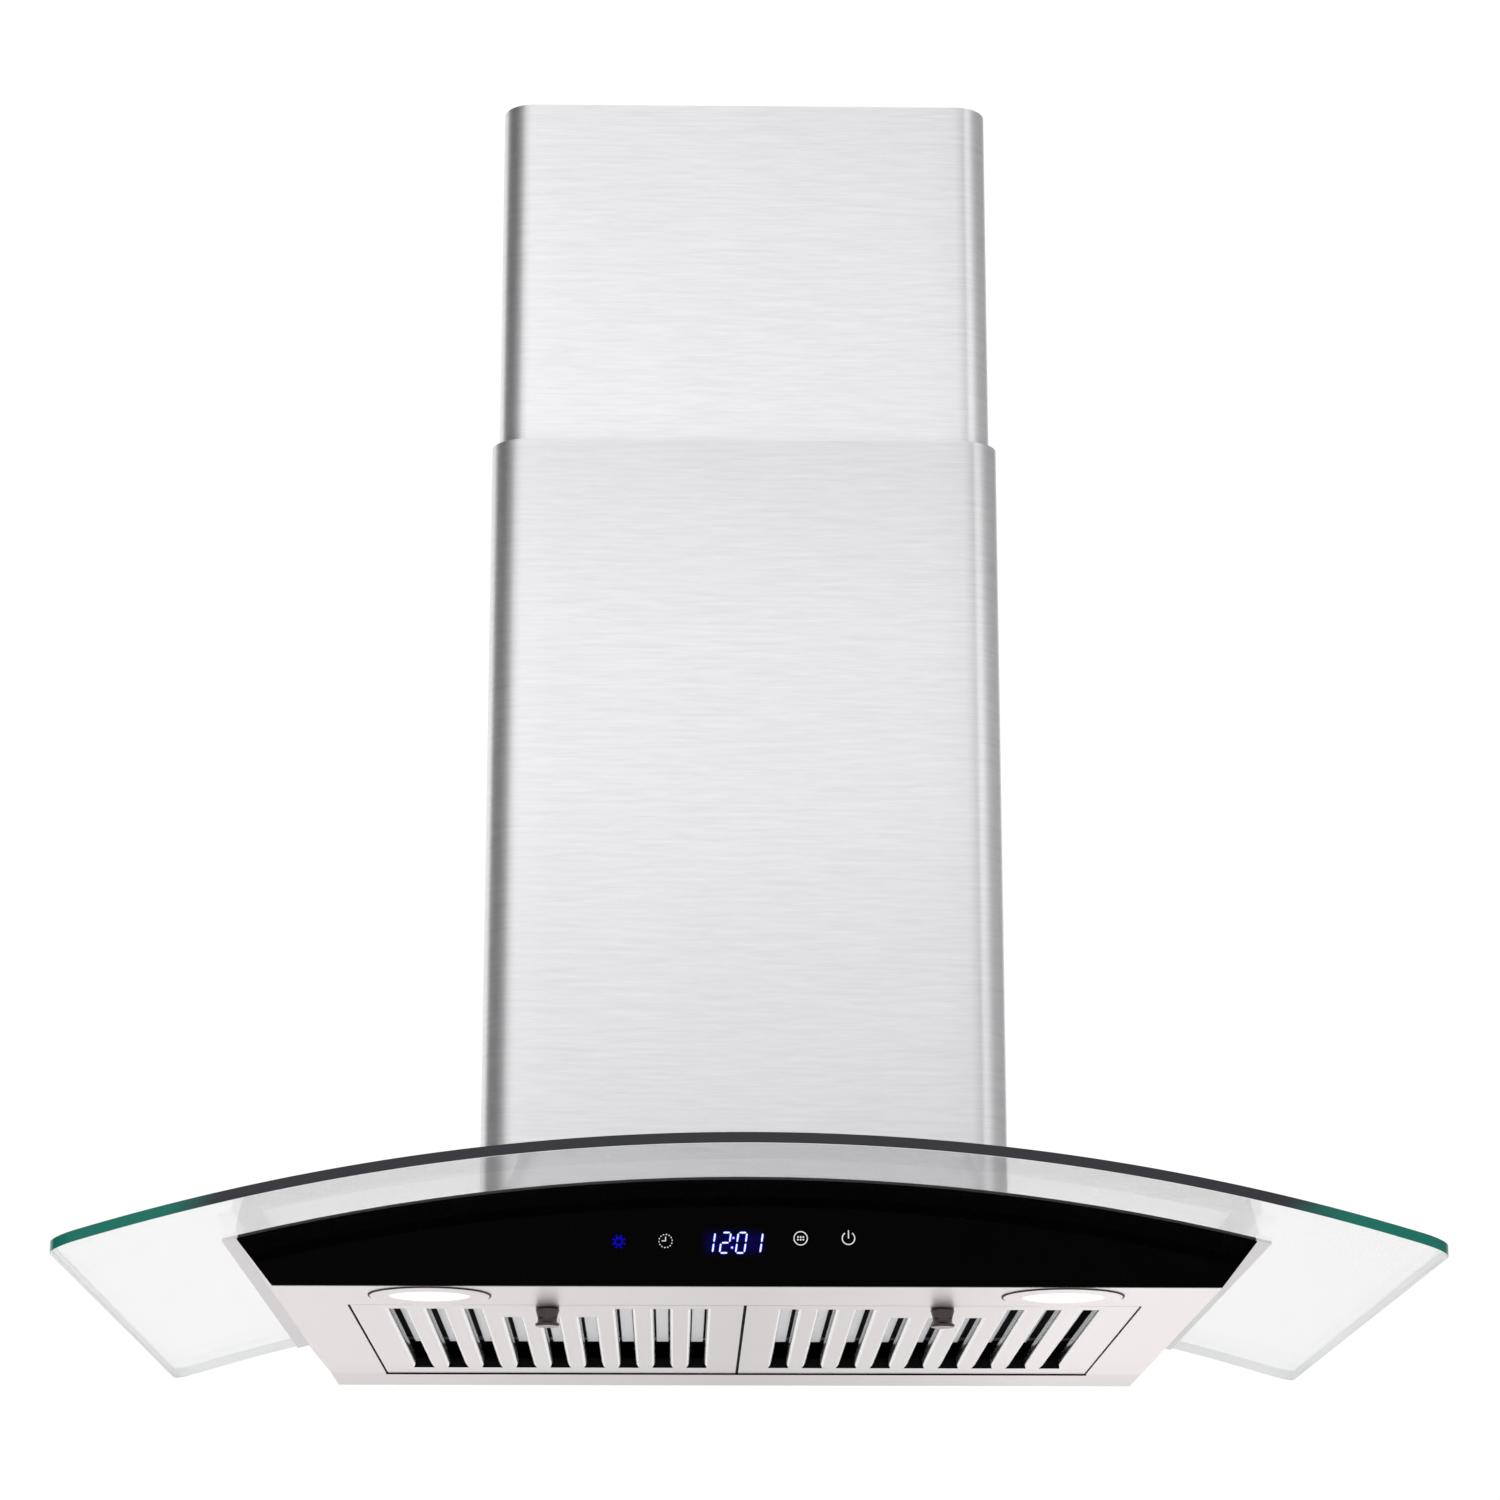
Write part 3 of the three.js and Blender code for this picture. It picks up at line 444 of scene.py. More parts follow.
def circle(cx, cy, radius, steps):
    """A circle's outline, anticlockwise."""
    angles = [2 * math.pi * i / steps for i in range(steps)]
    return [(cx + radius * math.cos(a), cy + radius * math.sin(a)) for a in angles]


def sheet_with_holes(outline, holes, low, high):
    """Vertices and faces of a flat plate between two heights, with holes."""
    loops = [outline, *holes]
    flat = [Vector((x, y, 0)) for loop in loops for x, y in loop]
    triangles = tessellate_polygon([[Vector((x, y, 0)) for x, y in loop] for loop in loops])
    count = len(flat)
    verts = [(p.x, p.y, low) for p in flat] + [(p.x, p.y, high) for p in flat]
    faces = [tuple(t) for t in triangles] + [tuple(i + count for i in reversed(t)) for t in triangles]
    start = 0
    for loop in loops:
        size = len(loop)
        for i in range(size):
            a, b = start + i, start + (i + 1) % size
            faces.append((a, b, b + count, a + count))
        start += size
    return verts, faces


# ---------------------------------------------------------------- glass canopy


def glass_canopy():
    """One bent pane: columns across the width, each split at the cut-out's front and back."""
    front, back = glass_low.y, glass_high.y
    half, corner = glass_high.x, 15 * MM
    hole_half, hole_depth, hole_corner = 148 * MM, 128 * MM, 20 * MM
    steps = 10
    places = [hole_half * i / 14 for i in range(13)]
    places += [hole_half - hole_corner * (1 - math.sin(math.pi / 2 * i / steps)) for i in range(steps + 1)]
    places += [hole_half + (half - corner - hole_half) * i / 26 for i in range(1, 27)]
    places += [half - corner * (1 - math.sin(math.pi / 2 * i / steps)) for i in range(1, steps + 1)]
    places = sorted(set(round(p, 7) for p in places))
    columns = [-p for p in reversed(places) if p > 0] + places
    verts, faces, inner = [], [], []
    for x in columns:
        near = abs(x)
        lean = max(0.0, (near - (half - corner)) / corner)
        inset = corner * (1 - math.sqrt(max(0.0, 1 - lean * lean)))
        turn = min(1.0, max(0.0, (near - (hole_half - hole_corner)) / hole_corner))
        depth = hole_depth - hole_corner * (1 - math.sqrt(max(0.0, 1 - turn * turn)))
        inner.append(near < hole_half - 1e-7)
        for radius in (GLASS_RADIUS, GLASS_TOP_RADIUS):
            z = arch(x, radius)
            verts += [(x, front + inset, z), (x, -depth, z), (x, depth, z), (x, back - inset, z)]
    for c in range(len(columns) - 1):
        a, b = 8 * c, 8 * (c + 1)
        hole = inner[c] or inner[c + 1]
        for k in range(3):
            if k == 1 and hole:
                continue
            faces.append((a + k, a + k + 1, b + k + 1, b + k))
            faces.append((a + 4 + k, b + 4 + k, b + 5 + k, a + 5 + k))
        faces.append((a, b, b + 4, a + 4))
        faces.append((a + 3, a + 7, b + 7, b + 3))
        if hole:
            faces.append((a + 1, a + 5, b + 5, b + 1))
            faces.append((a + 2, b + 2, b + 6, a + 6))
    for c in [0, len(columns) - 1]:
        a = 8 * c
        for k in range(3):
            faces.append((a + k, a + k + 1, a + k + 5, a + k + 4))
    for c, x in enumerate(columns):
        if abs(abs(x) - hole_half) < 1e-6:
            a = 8 * c
            faces.append((a + 1, a + 2, a + 6, a + 5))
    coats = [canopy_glass, glass_edge, glass_arris]
    pane, edge, arris_strip = 0, 1, 2  # places in coats
    piece = mesh_object("canopy_pane", verts, faces, coats, "hood")
    for face in piece.data.polygons:
        face.material_index = pane if abs(face.normal.z) > 0.5 else edge
    soften(piece, 1.1 * MM, 2, 40, paint=arris_strip)
    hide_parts("glass_canopy")


glass_canopy()

# ---------------------------------------------------------------- chimney covers


def cover_half(name, width, depth, corner, sign, bottom, top, body, node, paint):
    """Half of a chimney cover: a U of bent sheet. bottom gives the lower edge's height at x."""
    sheet, seam = 1.0 * MM, GAP / 2
    steps = 14

    def section(inset):
        points = [(-width / 2 + inset, seam)]
        for side, start in ((-1, math.pi), (1, 1.5 * math.pi)):
            cx, cy = side * (width / 2 - corner), depth / 2 - corner
            for i in range(steps + 1):
                angle = start + math.pi / 2 * i / steps
                reach = corner - inset
                points.append((cx + reach * math.cos(angle), cy - reach * math.sin(angle)))
        points.append((width / 2 - inset, seam))
        wide = []
        for a, b in zip(points, points[1:]):
            pieces = 16 if abs(a[0] - b[0]) > width / 2 else 1
            for i in range(pieces):
                wide.append((a[0] + (b[0] - a[0]) * i / pieces, a[1] + (b[1] - a[1]) * i / pieces))
        return [*wide, points[-1]]

    outside, inside = section(0), section(sheet)
    verts, faces = [], []
    count = len(outside)
    for (x, y), (u, v) in zip(outside, inside):
        low = bottom(x)
        verts += [(x, sign * y, low), (x, sign * y, top), (u, sign * v, top), (u, sign * v, low)]
    for i in range(count - 1):
        a, b = 4 * i, 4 * i + 4
        for k in range(4):
            m = (k + 1) % 4
            faces.append((a + k, b + k, b + m, a + m))
    for a in (0, 4 * (count - 1)):
        faces.append((a, a + 1, a + 2, a + 3))
    piece = mesh_object(name, verts, faces, [paint], body)
    soften(piece, 0.25 * MM, 2, 50)
    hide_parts(node)
    return piece


UPPER_CORNER, LOWER_CORNER = 20 * MM, 22 * MM
for half_name, sign in (("front", -1), ("rear", 1)):
    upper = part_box(f"upper_chimney_{half_name}")
    cover_half(
        f"upper_cover_{half_name}",
        upper[1].x - upper[0].x,
        2 * max(abs(upper[0].y), abs(upper[1].y)),
        UPPER_CORNER,
        sign,
        lambda x, low=upper[0].z: low,
        upper[1].z,
        "ceiling_frame",
        f"upper_chimney_{half_name}",
        upper_steel,
    )
    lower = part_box(f"lower_chimney_{half_name}")
    cover_half(
        f"lower_cover_{half_name}",
        lower[1].x - lower[0].x,
        2 * max(abs(lower[0].y), abs(lower[1].y)),
        LOWER_CORNER,
        sign,
        lambda x: arch(x, GLASS_TOP_RADIUS + GAP),
        lower[1].z,
        "lower_cover",
        f"lower_chimney_{half_name}",
        lower_steel,
    )

# ---------------------------------------------------------------- front panel


def front_panel():
    """Black glass front with a straight base, leaning ends and an arched top."""
    half_base, half_top = 265.5 * MM, 286 * MM
    radius = GLASS_RADIUS - 2.1 * MM
    front, back = panel_low.y, panel_high.y
    steps = 64
    base_steps = 8
    outline = [(-half_base + 2 * half_base * i / base_steps, BASE) for i in range(base_steps + 1)]
    for i in range(steps + 1):
        x = half_top - 2 * half_top * i / steps
        outline.append((x, arch(x, radius)))
    count = len(outline)
    verts = [(x, front, z) for x, z in outline] + [(x, back, z) for x, z in outline]
    faces = [tuple(range(count)), tuple(range(2 * count - 1, count - 1, -1))]
    for i in range(count):
        j = (i + 1) % count
        faces.append((i, j, j + count, i + count))
    piece = mesh_object("front_glass", verts, faces, [black_glass], "hood")
    soften(piece, 0.5 * MM, 2, 20)
    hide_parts("front_panel")


front_panel()

# ---------------------------------------------------------------- underside

BAY_SIDE, BAY_FRONT, BAY_BACK = 229.4 * MM, -162.8 * MM, 174.4 * MM
LAMP_X, LAMP_Y, LAMP_HOLE = 179.6 * MM, -205 * MM, 30 * MM


def underside():
    """Bottom sheet with softened edges round the filter bay and two lamp holes."""
    bay = rounded(-BAY_SIDE, BAY_SIDE, BAY_FRONT, BAY_BACK, 1.5 * MM, 4)
    lamps = [circle(side * LAMP_X, LAMP_Y, LAMP_HOLE, 48) for side in (-1, 1)]
    outline = rounded(plate_low.x, plate_high.x, plate_low.y, plate_high.y, 0.6 * MM, 3)
    verts, faces = sheet_with_holes(outline, [bay, *lamps], plate_low.z, plate_high.z)
    piece = mesh_object("underside_sheet", verts, faces, [body_steel], "hood", smooth=False)
    soften(piece, 0.35 * MM, 2, 40)
    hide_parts("underside_plate")


underside()

# ---------------------------------------------------------------- lamps

# Profiles as (radius, height above the underside) in millimetres.
BEZEL = [
    (23.6, 4.0),
    (23.6, -0.9),
    (23.9, -1.4),
    (24.5, -1.6),
    (27.4, -1.6),
    (27.8, -1.35),
    (28.4, -1.35),
    (28.8, -1.6),
    (32.6, -1.6),
    (33.4, -1.35),
    (33.9, -0.8),
    (34.0, -0.3),
    (25.6, -0.3),
    (25.6, 4.0),
]
LENS = [
    (0.0, 1.2),
    (0.0, -0.8),
    (10.0, -0.78),
    (18.0, -0.72),
    (21.5, -0.6),
    (22.8, -0.3),
    (23.3, 0.2),
    (23.3, 1.2),
]
# A black rubber ring standing in for the shadow gap round each bezel: painted shade.
LAMP_SHADOW_RING = [(33.2, -0.25), (33.2, -0.75), (34.75, -0.75), (34.95, -0.5), (34.95, -0.02), (33.2, -0.02)]
LAMP_SEGMENTS = 72


def middle_of(low, high):
    """The middle of a box in plan, at the height of the underside."""
    return Vector(((low.x + high.x) / 2, (low.y + high.y) / 2, BASE))


for name in ("left", "right"):
    centre = middle_of(*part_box(f"lamp_bezel_{name}"))
    bezel = turned(f"lamp_ring_{name}", BEZEL, centre, body_steel, "hood", "body_steel", LAMP_SEGMENTS)
    soften(bezel, 0.12 * MM, 2, 30)
    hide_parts(f"lamp_bezel_{name}")
    lens = turned(f"lamp_glass_{name}", LENS, centre, lens_paint, "hood", "lamp_lens", LAMP_SEGMENTS)
    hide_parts(f"lamp_lens_{name}")
    turned(f"lamp_shadow_ring_{name}", LAMP_SHADOW_RING, centre, rubber, "hood", "gasket_rubber", LAMP_SEGMENTS)

# ---------------------------------------------------------------- filters

SLOTS = 9
SHORT_SLOTS = 3  # the ones behind the knob start further back
PITCH = 22 * MM
SLOT_INSET = 16 * MM  # from the filter's front edge to the long slots
SHORT_SLOT_INSET = 53 * MM
SLOT_LENGTH = 289.5 * MM
SLOT_HALF = 4.75 * MM
ROLL = 1.9 * MM  # how far a slot's rolled edge reaches across and up
ROLL_FADE = 16 * MM  # length over which the roll fades out at the rear end
LIP = 4.5 * MM  # height of the turned-up lip above the roll
SHADOW_GAP = 0.6 * MM  # how far a face sheet stays back from the filter's sides
FRAME_WALL = 1.1 * MM
CHANNEL_HALF = 3.7 * MM
CHANNEL_FOOT = BASE + 12.1 * MM
CHANNEL_END = 104 * MM
CHANNEL_SHEET = 0.8 * MM


def slot_places(middle):
    """Where a filter's slots lie across it."""
    return [middle + (i - (SLOTS - 1) / 2) * PITCH for i in range(SLOTS)]


def slot_rings(x, front, back):
    """Rings of points from the sheet's face up round a slot's rolled edge."""
    stations = [front, front + 1.2 * MM, front + 6 * MM]
    stations += [front + (back - front) * i / 6 for i in range(1, 6)]
    stations += [back - ahead * MM for ahead in (16, 11, 7, 3.5, 1, 0)]
    wide = SLOT_HALF + ROLL
    curve = [(0.0, 0.0), (0.14, 0.01), (0.40, 0.09), (0.68, 0.29), (0.90, 0.62), (1.0, 1.0)]
    rings = []
    for across, up in [*curve, (1.0, 1.0 + LIP / ROLL)]:
        left, right = [], []
        for y in stations:
            fade = min(1.0, max(0.0, (back - y) / ROLL_FADE))
            fade = math.sin(fade * math.pi / 2) ** 0.8
            half = wide - ROLL * across * fade
            end = ROLL * across * 0.35 if y == front else 0.0
            left.append((x - half, y + end, ROLL * up))
            right.append((x + half, y + end, ROLL * up))
        rings.append(left + right[::-1])
    return rings


def filter_face(name):
    """The slotted face sheet, each slot with a rolled edge and a lip turned up above it."""
    low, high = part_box(f"filter_face_{name}")
    cx = (low.x + high.x) / 2
    outline = rounded(low.x + SHADOW_GAP, high.x - SHADOW_GAP, low.y, high.y, 1.2 * MM, 3)
    slots = []
    for x in slot_places(cx):
        near = SHORT_SLOT_INSET if abs(x - cx) < SHORT_SLOTS / 2 * PITCH else SLOT_INSET
        slots.append(slot_rings(x, low.y + near, low.y + SLOT_INSET + SLOT_LENGTH))
    loops = [outline] + [[(p[0], p[1]) for p in rings[0]] for rings in slots]
    triangles = tessellate_polygon([[Vector((x, y, 0)) for x, y in loop] for loop in loops])
    verts = [(x, y, low.z) for loop in loops for x, y in loop]
    faces = [tuple(t) for t in triangles]
    # Faces at the slots' rear ends are painted black as painted shade.
    sheet, roll, rear_end_shade = 0, 1, 2  # places in coats
    paints = [sheet] * len(faces)
    edge = len(outline)
    rim = [(x, y, low.z + 1.0 * MM) for x, y in outline]
    base = len(verts)
    verts += rim
    for i in range(edge):
        j = (i + 1) % edge
        faces.append((i, j, base + j, base + i))
        paints.append(sheet)
    start = edge
    for rings in slots:
        size = len(rings[0])
        previous = list(range(start, start + size))
        for ring in rings[1:]:
            first = len(verts)
            verts += [(px, py, low.z + pz) for px, py, pz in ring]
            current = list(range(first, first + size))
            end = max(point[1] for point in ring) - 0.5 * MM
            for i in range(size):
                j = (i + 1) % size
                faces.append((previous[i], previous[j], current[j], current[i]))
                paints.append(rear_end_shade if ring[i][1] > end and ring[j][1] > end else roll)
            previous = current
        start += size
    coats = [body_steel, rim_steel, painted_shade_black]
    return mesh_object(f"filter_sheet_{name}", verts, faces, coats, f"filter_{name}", paints)


def boxes(name, extents, paint, body):
    """Square-edged strips, each given by its low and high corner."""
    verts, faces = [], []
    for (x0, y0, z0), (x1, y1, z1) in extents:
        start = len(verts)
        verts += [(x, y, z) for z in (z0, z1) for x, y in ((x0, y0), (x1, y0), (x1, y1), (x0, y1))]
        sides = [(0, 1, 5, 4), (1, 2, 6, 5), (2, 3, 7, 6), (3, 0, 4, 7), (3, 2, 1, 0), (4, 5, 6, 7)]
        faces += [tuple(start + i for i in side) for side in sides]
    return mesh_object(name, verts, faces, [paint], body, smooth=False)


def filter_shade_lining(name):
    """A black lining of painted shade on the inside of the filter's frame."""
    low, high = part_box(f"filter_frame_{name}")
    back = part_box(f"filter_face_{name}")[1].y
    loops = []
    for inset, corner in ((FRAME_WALL, 0.5 * MM), (FRAME_WALL + 0.3 * MM, 0.4 * MM)):
        loops.append(rounded(low.x + inset, high.x - inset, low.y + inset, back - inset, corner, 2))
    verts, faces = sheet_with_holes(loops[0], loops[1:], BASE + 7.4 * MM, BASE + 18.2 * MM)
    piece_name, body = f"filter_shade_lining_{name}", f"filter_{name}"
    mesh_object(piece_name, verts, faces, [painted_shade_black], body, smooth=False)


def filter_channels(name):
    """Channels over the slots, glowing faintly as painted light, on two cross bars of shaded steel; a black
    pad of painted shade above them; and black side strips of painted shadow.
    """
    low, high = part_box(f"filter_frame_{name}")
    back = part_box(f"filter_face_{name}")[1].y
    body = f"filter_{name}"
    wall = FRAME_WALL + 0.5 * MM
    front, foot = low.y + wall, CHANNEL_FOOT
    strips = []
    for x in slot_places((low.x + high.x) / 2):
        corner = (x + CHANNEL_HALF, CHANNEL_END, foot + CHANNEL_SHEET)
        strips.append(((x - CHANNEL_HALF, front, foot), corner))
    boxes(f"filter_channels_{name}", strips, baffle_painted_glow, body)
    bars = []
    for y in (front + 2 * MM, CHANNEL_END - 5 * MM):
        bars.append(((low.x + wall, y, foot + 1.0 * MM), (high.x - wall, y + 3 * MM, foot + 2.2 * MM)))
    boxes(f"filter_bars_{name}", bars, shaded_inner_steel, body)
    # Painted shade: a black pad above the channels.
    pad = ((low.x + wall, low.y + wall, BASE + 16.6 * MM), (high.x - wall, back - wall, BASE + 18.1 * MM))
    boxes(f"filter_shade_pad_{name}", [pad], painted_shade_black, body)
    # Painted shadow: thin black strips along the frame's sides.
    near, far, sill, top = 0.05 * MM, 0.65 * MM, BASE + 1.05 * MM, BASE + 1.27 * MM
    edges = [
        ((low.x + near, low.y + near, sill), (low.x + far, back, top)),
        ((high.x - far, low.y + near, sill), (high.x - near, back, top)),
    ]
    boxes(f"filter_shadow_edging_{name}", edges, painted_shade_black, body)


for name in ("left", "right"):
    filter_shade_lining(name)
    filter_channels(name)
    piece = filter_face(name)
    for face in piece.data.polygons:
        face.use_smooth = face.material_index == 1
    thick = piece.modifiers.new("sheet", "SOLIDIFY")
    thick.thickness = 0.5 * MM
    thick.offset = -1
    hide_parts(f"filter_face_{name}")


def bay_shadow_strips():
    """Black strips of painted shadow in the gaps beside, between and behind the filters."""
    strip, low, high = 0.8 * MM, BASE + 0.7 * MM, BASE + 1.1 * MM
    middle, rear_half = 0.28 * MM, 0.9 * MM
    sides = [
        ((-BAY_SIDE, BAY_FRONT, low), (-BAY_SIDE + strip, BAY_BACK, high)),
        ((BAY_SIDE - strip, BAY_FRONT, low), (BAY_SIDE, BAY_BACK, high)),
    ]
    between = ((-middle, BAY_FRONT, BASE + 0.1 * MM), (middle, BAY_BACK, BASE + 6 * MM))
    behind = (
        (-BAY_SIDE, BAY_BACK - 0.4 * MM, BASE - rear_half),
        (BAY_SIDE, BAY_BACK + 0.3 * MM, BASE + rear_half),
    )
    boxes("filter_bay_shadow_strips", [*sides, between, behind], painted_shade_black, "hood")


def rear_shade_sheet(name, half, low, high):
    """A black sheet of painted shade on the inside of the shell's rear wall, between two heights above the
    underside.
    """
    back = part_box("hood_shell")[1].y
    front, rear = back - 4.5 * MM, back - 1.5 * MM
    mat = ((-half, front, BASE + low * MM), (half, rear, BASE + high * MM))
    boxes(name, [mat], painted_shade_black, "hood")


bay_shadow_strips()
rear_shade_sheet("plenum_shade_sheet", 262 * MM, 3, 27)
rear_shade_sheet("plenum_shade_sheet_middle", 200 * MM, 27.3, 42)

# ---------------------------------------------------------------- knobs

# Profile as (radius, height above the underside) in millimetres.
KNOB = [
    (0.0, 8.0),
    (0.0, -10.6),
    (4.8, -10.9),
    (6.3, -11.0),
    (6.9, -10.6),
    (7.1, -10.0),
    (6.9, -9.4),
    (6.2, -8.9),
    (5.7, -8.2),
    (5.6, -7.2),
    (5.8, -5.6),
    (6.3, -3.8),
    (6.8, -2.2),
    (7.0, -1.5),
    (6.9, -1.1),
    (6.4, -0.95),
    (6.4, -0.75),
    (6.9, -0.6),
    (6.9, -0.3),
    (2.5, -0.3),
    (2.5, 8.0),
]
for name in ("left", "right"):
    centre = middle_of(*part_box(f"filter_knob_{name}"))
    knob = turned(f"pull_knob_{name}", KNOB, centre, nickel, f"filter_{name}", "dark_nickel", 48)
    soften(knob, 0.15 * MM, 2, 45)
    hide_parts(f"filter_knob_{name}")

# ---------------------------------------------------------------- lit symbols on the front glass

FACE_Y = panel_low.y
SYMBOL_THICK = 0.12 * MM


def plate_symbol(name, shapes, paint, lift=0.0):
    """Flat shapes laid on the glass, each a loop of (x, height above the underside) in millimetres."""
    verts, faces = [], []
    for loop in shapes:
        start, count = len(verts), len(loop)
        for y in (FACE_Y - SYMBOL_THICK - lift, FACE_Y - lift):
            verts += [(x * MM, y, BASE + z * MM) for x, z in loop]
        faces.append(tuple(range(start, start + count)))
        faces.append(tuple(range(start + 2 * count - 1, start + count - 1, -1)))
        for i in range(count):
            j = (i + 1) % count
            faces.append((start + i, start + j, start + count + j, start + count + i))
    return mesh_object(name, verts, faces, [paint], "hood", smooth=False)


def bar(x0, z0, x1, z1, width):
    """A straight stroke."""
    length = math.hypot(x1 - x0, z1 - z0)
    nx, nz = -(z1 - z0) / length * width / 2, (x1 - x0) / length * width / 2
    return [(x0 + nx, z0 + nz), (x0 - nx, z0 - nz), (x1 - nx, z1 - nz), (x1 + nx, z1 + nz)]


def arc(cx, cz, radius, width, start, end, steps=28):
    """Quads of a ring or part of one, angles in degrees."""
    quads = []
    for i in range(steps):
        a = math.radians(start + (end - start) * i / steps)
        b = math.radians(start + (end - start) * (i + 1) / steps)
        inner, outer = radius - width / 2, radius + width / 2
        quads.append(
            [
                (cx + inner * math.cos(a), cz + inner * math.sin(a)),
                (cx + outer * math.cos(a), cz + outer * math.sin(a)),
                (cx + outer * math.cos(b), cz + outer * math.sin(b)),
                (cx + inner * math.cos(b), cz + inner * math.sin(b)),
            ]
        )
    return quads


SEGMENTS = {"1": "bc", "2": "abged", "0": "abcdef"}
DIGITS = [("1", -24.7), ("2", -15.9), ("0", -6.9), ("1", 2.0)]  # each with its lower left's x
DIGIT_WIDTH, DIGIT_HEIGHT, DIGIT_FOOT = 4.8, 11.4, 18.7
SLANT = 0.14
COLON_X = -9.3


def digit(character, x, stroke):
    """Seven-segment strokes of one digit as hexagons."""
    width, height, mid = DIGIT_WIDTH, DIGIT_HEIGHT, DIGIT_HEIGHT / 2
    ends = {
        "a": ((0, height), (width, height)),
        "b": ((width, height), (width, mid)),
        "c": ((width, mid), (width, 0)),
        "d": ((0, 0), (width, 0)),
        "e": ((0, mid), (0, 0)),
        "f": ((0, height), (0, mid)),
        "g": ((0, mid), (width, mid)),
    }
    loops = []
    tip = stroke * 0.5
    for segment in SEGMENTS[character]:
        (x0, z0), (x1, z1) = ends[segment]
        length = math.hypot(x1 - x0, z1 - z0)
        ux, uz = (x1 - x0) / length, (z1 - z0) / length
        x0, z0, x1, z1 = x0 + ux * tip, z0 + uz * tip, x1 - ux * tip, z1 - uz * tip
        nx, nz = -uz * stroke / 2, ux * stroke / 2
        shape = [
            (x0, z0),
            (x0 + ux * tip - nx, z0 + uz * tip - nz),
            (x1 - ux * tip - nx, z1 - uz * tip - nz),
            (x1, z1),
            (x1 - ux * tip + nx, z1 - uz * tip + nz),
            (x0 + ux * tip + nx, z0 + uz * tip + nz),
        ]
        loops.append([(x + px + SLANT * pz, DIGIT_FOOT + pz) for px, pz in shape])
    return loops


for paint, piece_name, stroke, lift in (
    (digit_fringe, "clock_digits_fringe", 1.6, 0.0),
    (digit_light, "clock_digits", 0.85, 0.03 * MM),
):
    loops = []
    for character, x in DIGITS:
        loops += digit(character, x, stroke)
    for rise in (3.0, 8.4):
        loops.append(circle(COLON_X + SLANT * rise, DIGIT_FOOT + rise, stroke * 0.6, 12))
    plate_symbol(piece_name, loops, paint, lift)


def lamp_symbol(x, z):
    """A ring with eight rays."""
    loops = arc(x, z, 1.9, 1.0, 0, 360, 20)
    for i in range(8):
        angle = math.radians(22.5 + 45 * i)
        c, s = math.cos(angle), math.sin(angle)
        loops.append(bar(x + 2.3 * c, z + 2.3 * s, x + 3.9 * c, z + 3.9 * s, 1.0))
    return loops


def clock_symbol(x, z):
    """A dashed ring with two hands."""
    loops = []
    for i in range(14):
        loops += arc(x, z, 3.7, 0.5, 360 / 14 * i, 360 / 14 * i + 12, 2)
    return [*loops, bar(x, z - 0.2, x, z + 2.4, 0.55), bar(x - 0.2, z + 0.05, x - 2.2, z + 0.05, 0.55)]


def speed_symbol(x, z):
    """A ring round two rows of three dots."""
    dots = [circle(x + dx, z + dz, 0.52, 8) for dx in (-1.5, 0, 1.5) for dz in (-0.75, 0.75)]
    return arc(x, z, 3.75, 0.55, 0, 360, 36) + dots


def power_symbol(x, z):
    """A ring open at the top, with an upright stroke."""
    return [*arc(x, z, 3.5, 0.6, 125, 415, 30), bar(x, z - 0.1, x, z + 4.5, 0.6)]


plate_symbol("symbol_lamp", lamp_symbol(-72.3, 24.9), blue_light)
plate_symbol("symbol_clock", clock_symbol(-46.1, 25.3), white_light)
plate_symbol("symbol_speed", speed_symbol(29.5, 27.0), white_light)
plate_symbol("symbol_power", power_symbol(56.3, 27.1), white_light)

# ---------------------------------------------------------------- finishes of the CAD nodes that stay

FINISH = {
    "ceiling_": galvanised,
    "upper_strut": galvanised,
    "lower_strut": galvanised,
    "glass_gasket": rubber,
    "hood_shell": body_steel,
    "hood_roof": body_steel,
    "display_module": black_plastic,
    "control_board": board_green,
    "lamp_housing": aluminium,
    "glass_rail": rail_steel,
    "filter_frame": shaded_inner_steel,
    "filter_baffle": rim_steel,
    "blower_": galvanised,
    "scroll_housing": galvanised,
    "motor_bracket": galvanised,
    "motor_shaft": bright_steel,
    "motor_capacitor": white_plastic,
    "motor": aluminium,
    "outlet_collar": black_plastic,
    "damper_rod": bright_steel,
    "damper_flap": aluminium,
    "impeller": black_plastic,
    "control_box": white_plastic,
    "cover_guide": white_plastic,
    "cable_gland": black_plastic,
}
for node_name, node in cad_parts.items():
    for prefix, paint in FINISH.items():
        if node_name.startswith(prefix):
            node.data.materials.clear()
            node.data.materials.append(paint.mat)
            break

# ---------------------------------------------------------------- cover screws

# Profile of a pan head as (radius, height off the cover) in millimetres.
SCREW_HEAD = [(0.0, 0.0), (3.6, 0.0), (3.6, 0.5), (3.1, 1.3), (2.2, 1.8), (1.2, 2.0), (0.0, 2.0)]
SCREW_OFFSET, SCREW_DROP = 18 * MM, 19 * MM  # from the seam, and from the ceiling

cover_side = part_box("upper_chimney_front")[1].x
for side, side_name in ((-1, "left"), (1, "right")):
    profile = [(radius, side * height) for radius, height in SCREW_HEAD]
    for y, place in ((-SCREW_OFFSET, "front"), (SCREW_OFFSET, "rear")):
        head = turned(
            f"cover_screw_{side_name}_{place}",
            profile,
            Vector((side * cover_side, y, -SCREW_DROP)),
            bright_steel,
            "ceiling_frame",
            "turned_steel",
            32,
            axis="X",
        )
        soften(head, 0.1 * MM, 1, 40)

# ---------------------------------------------------------------- stage, light and camera

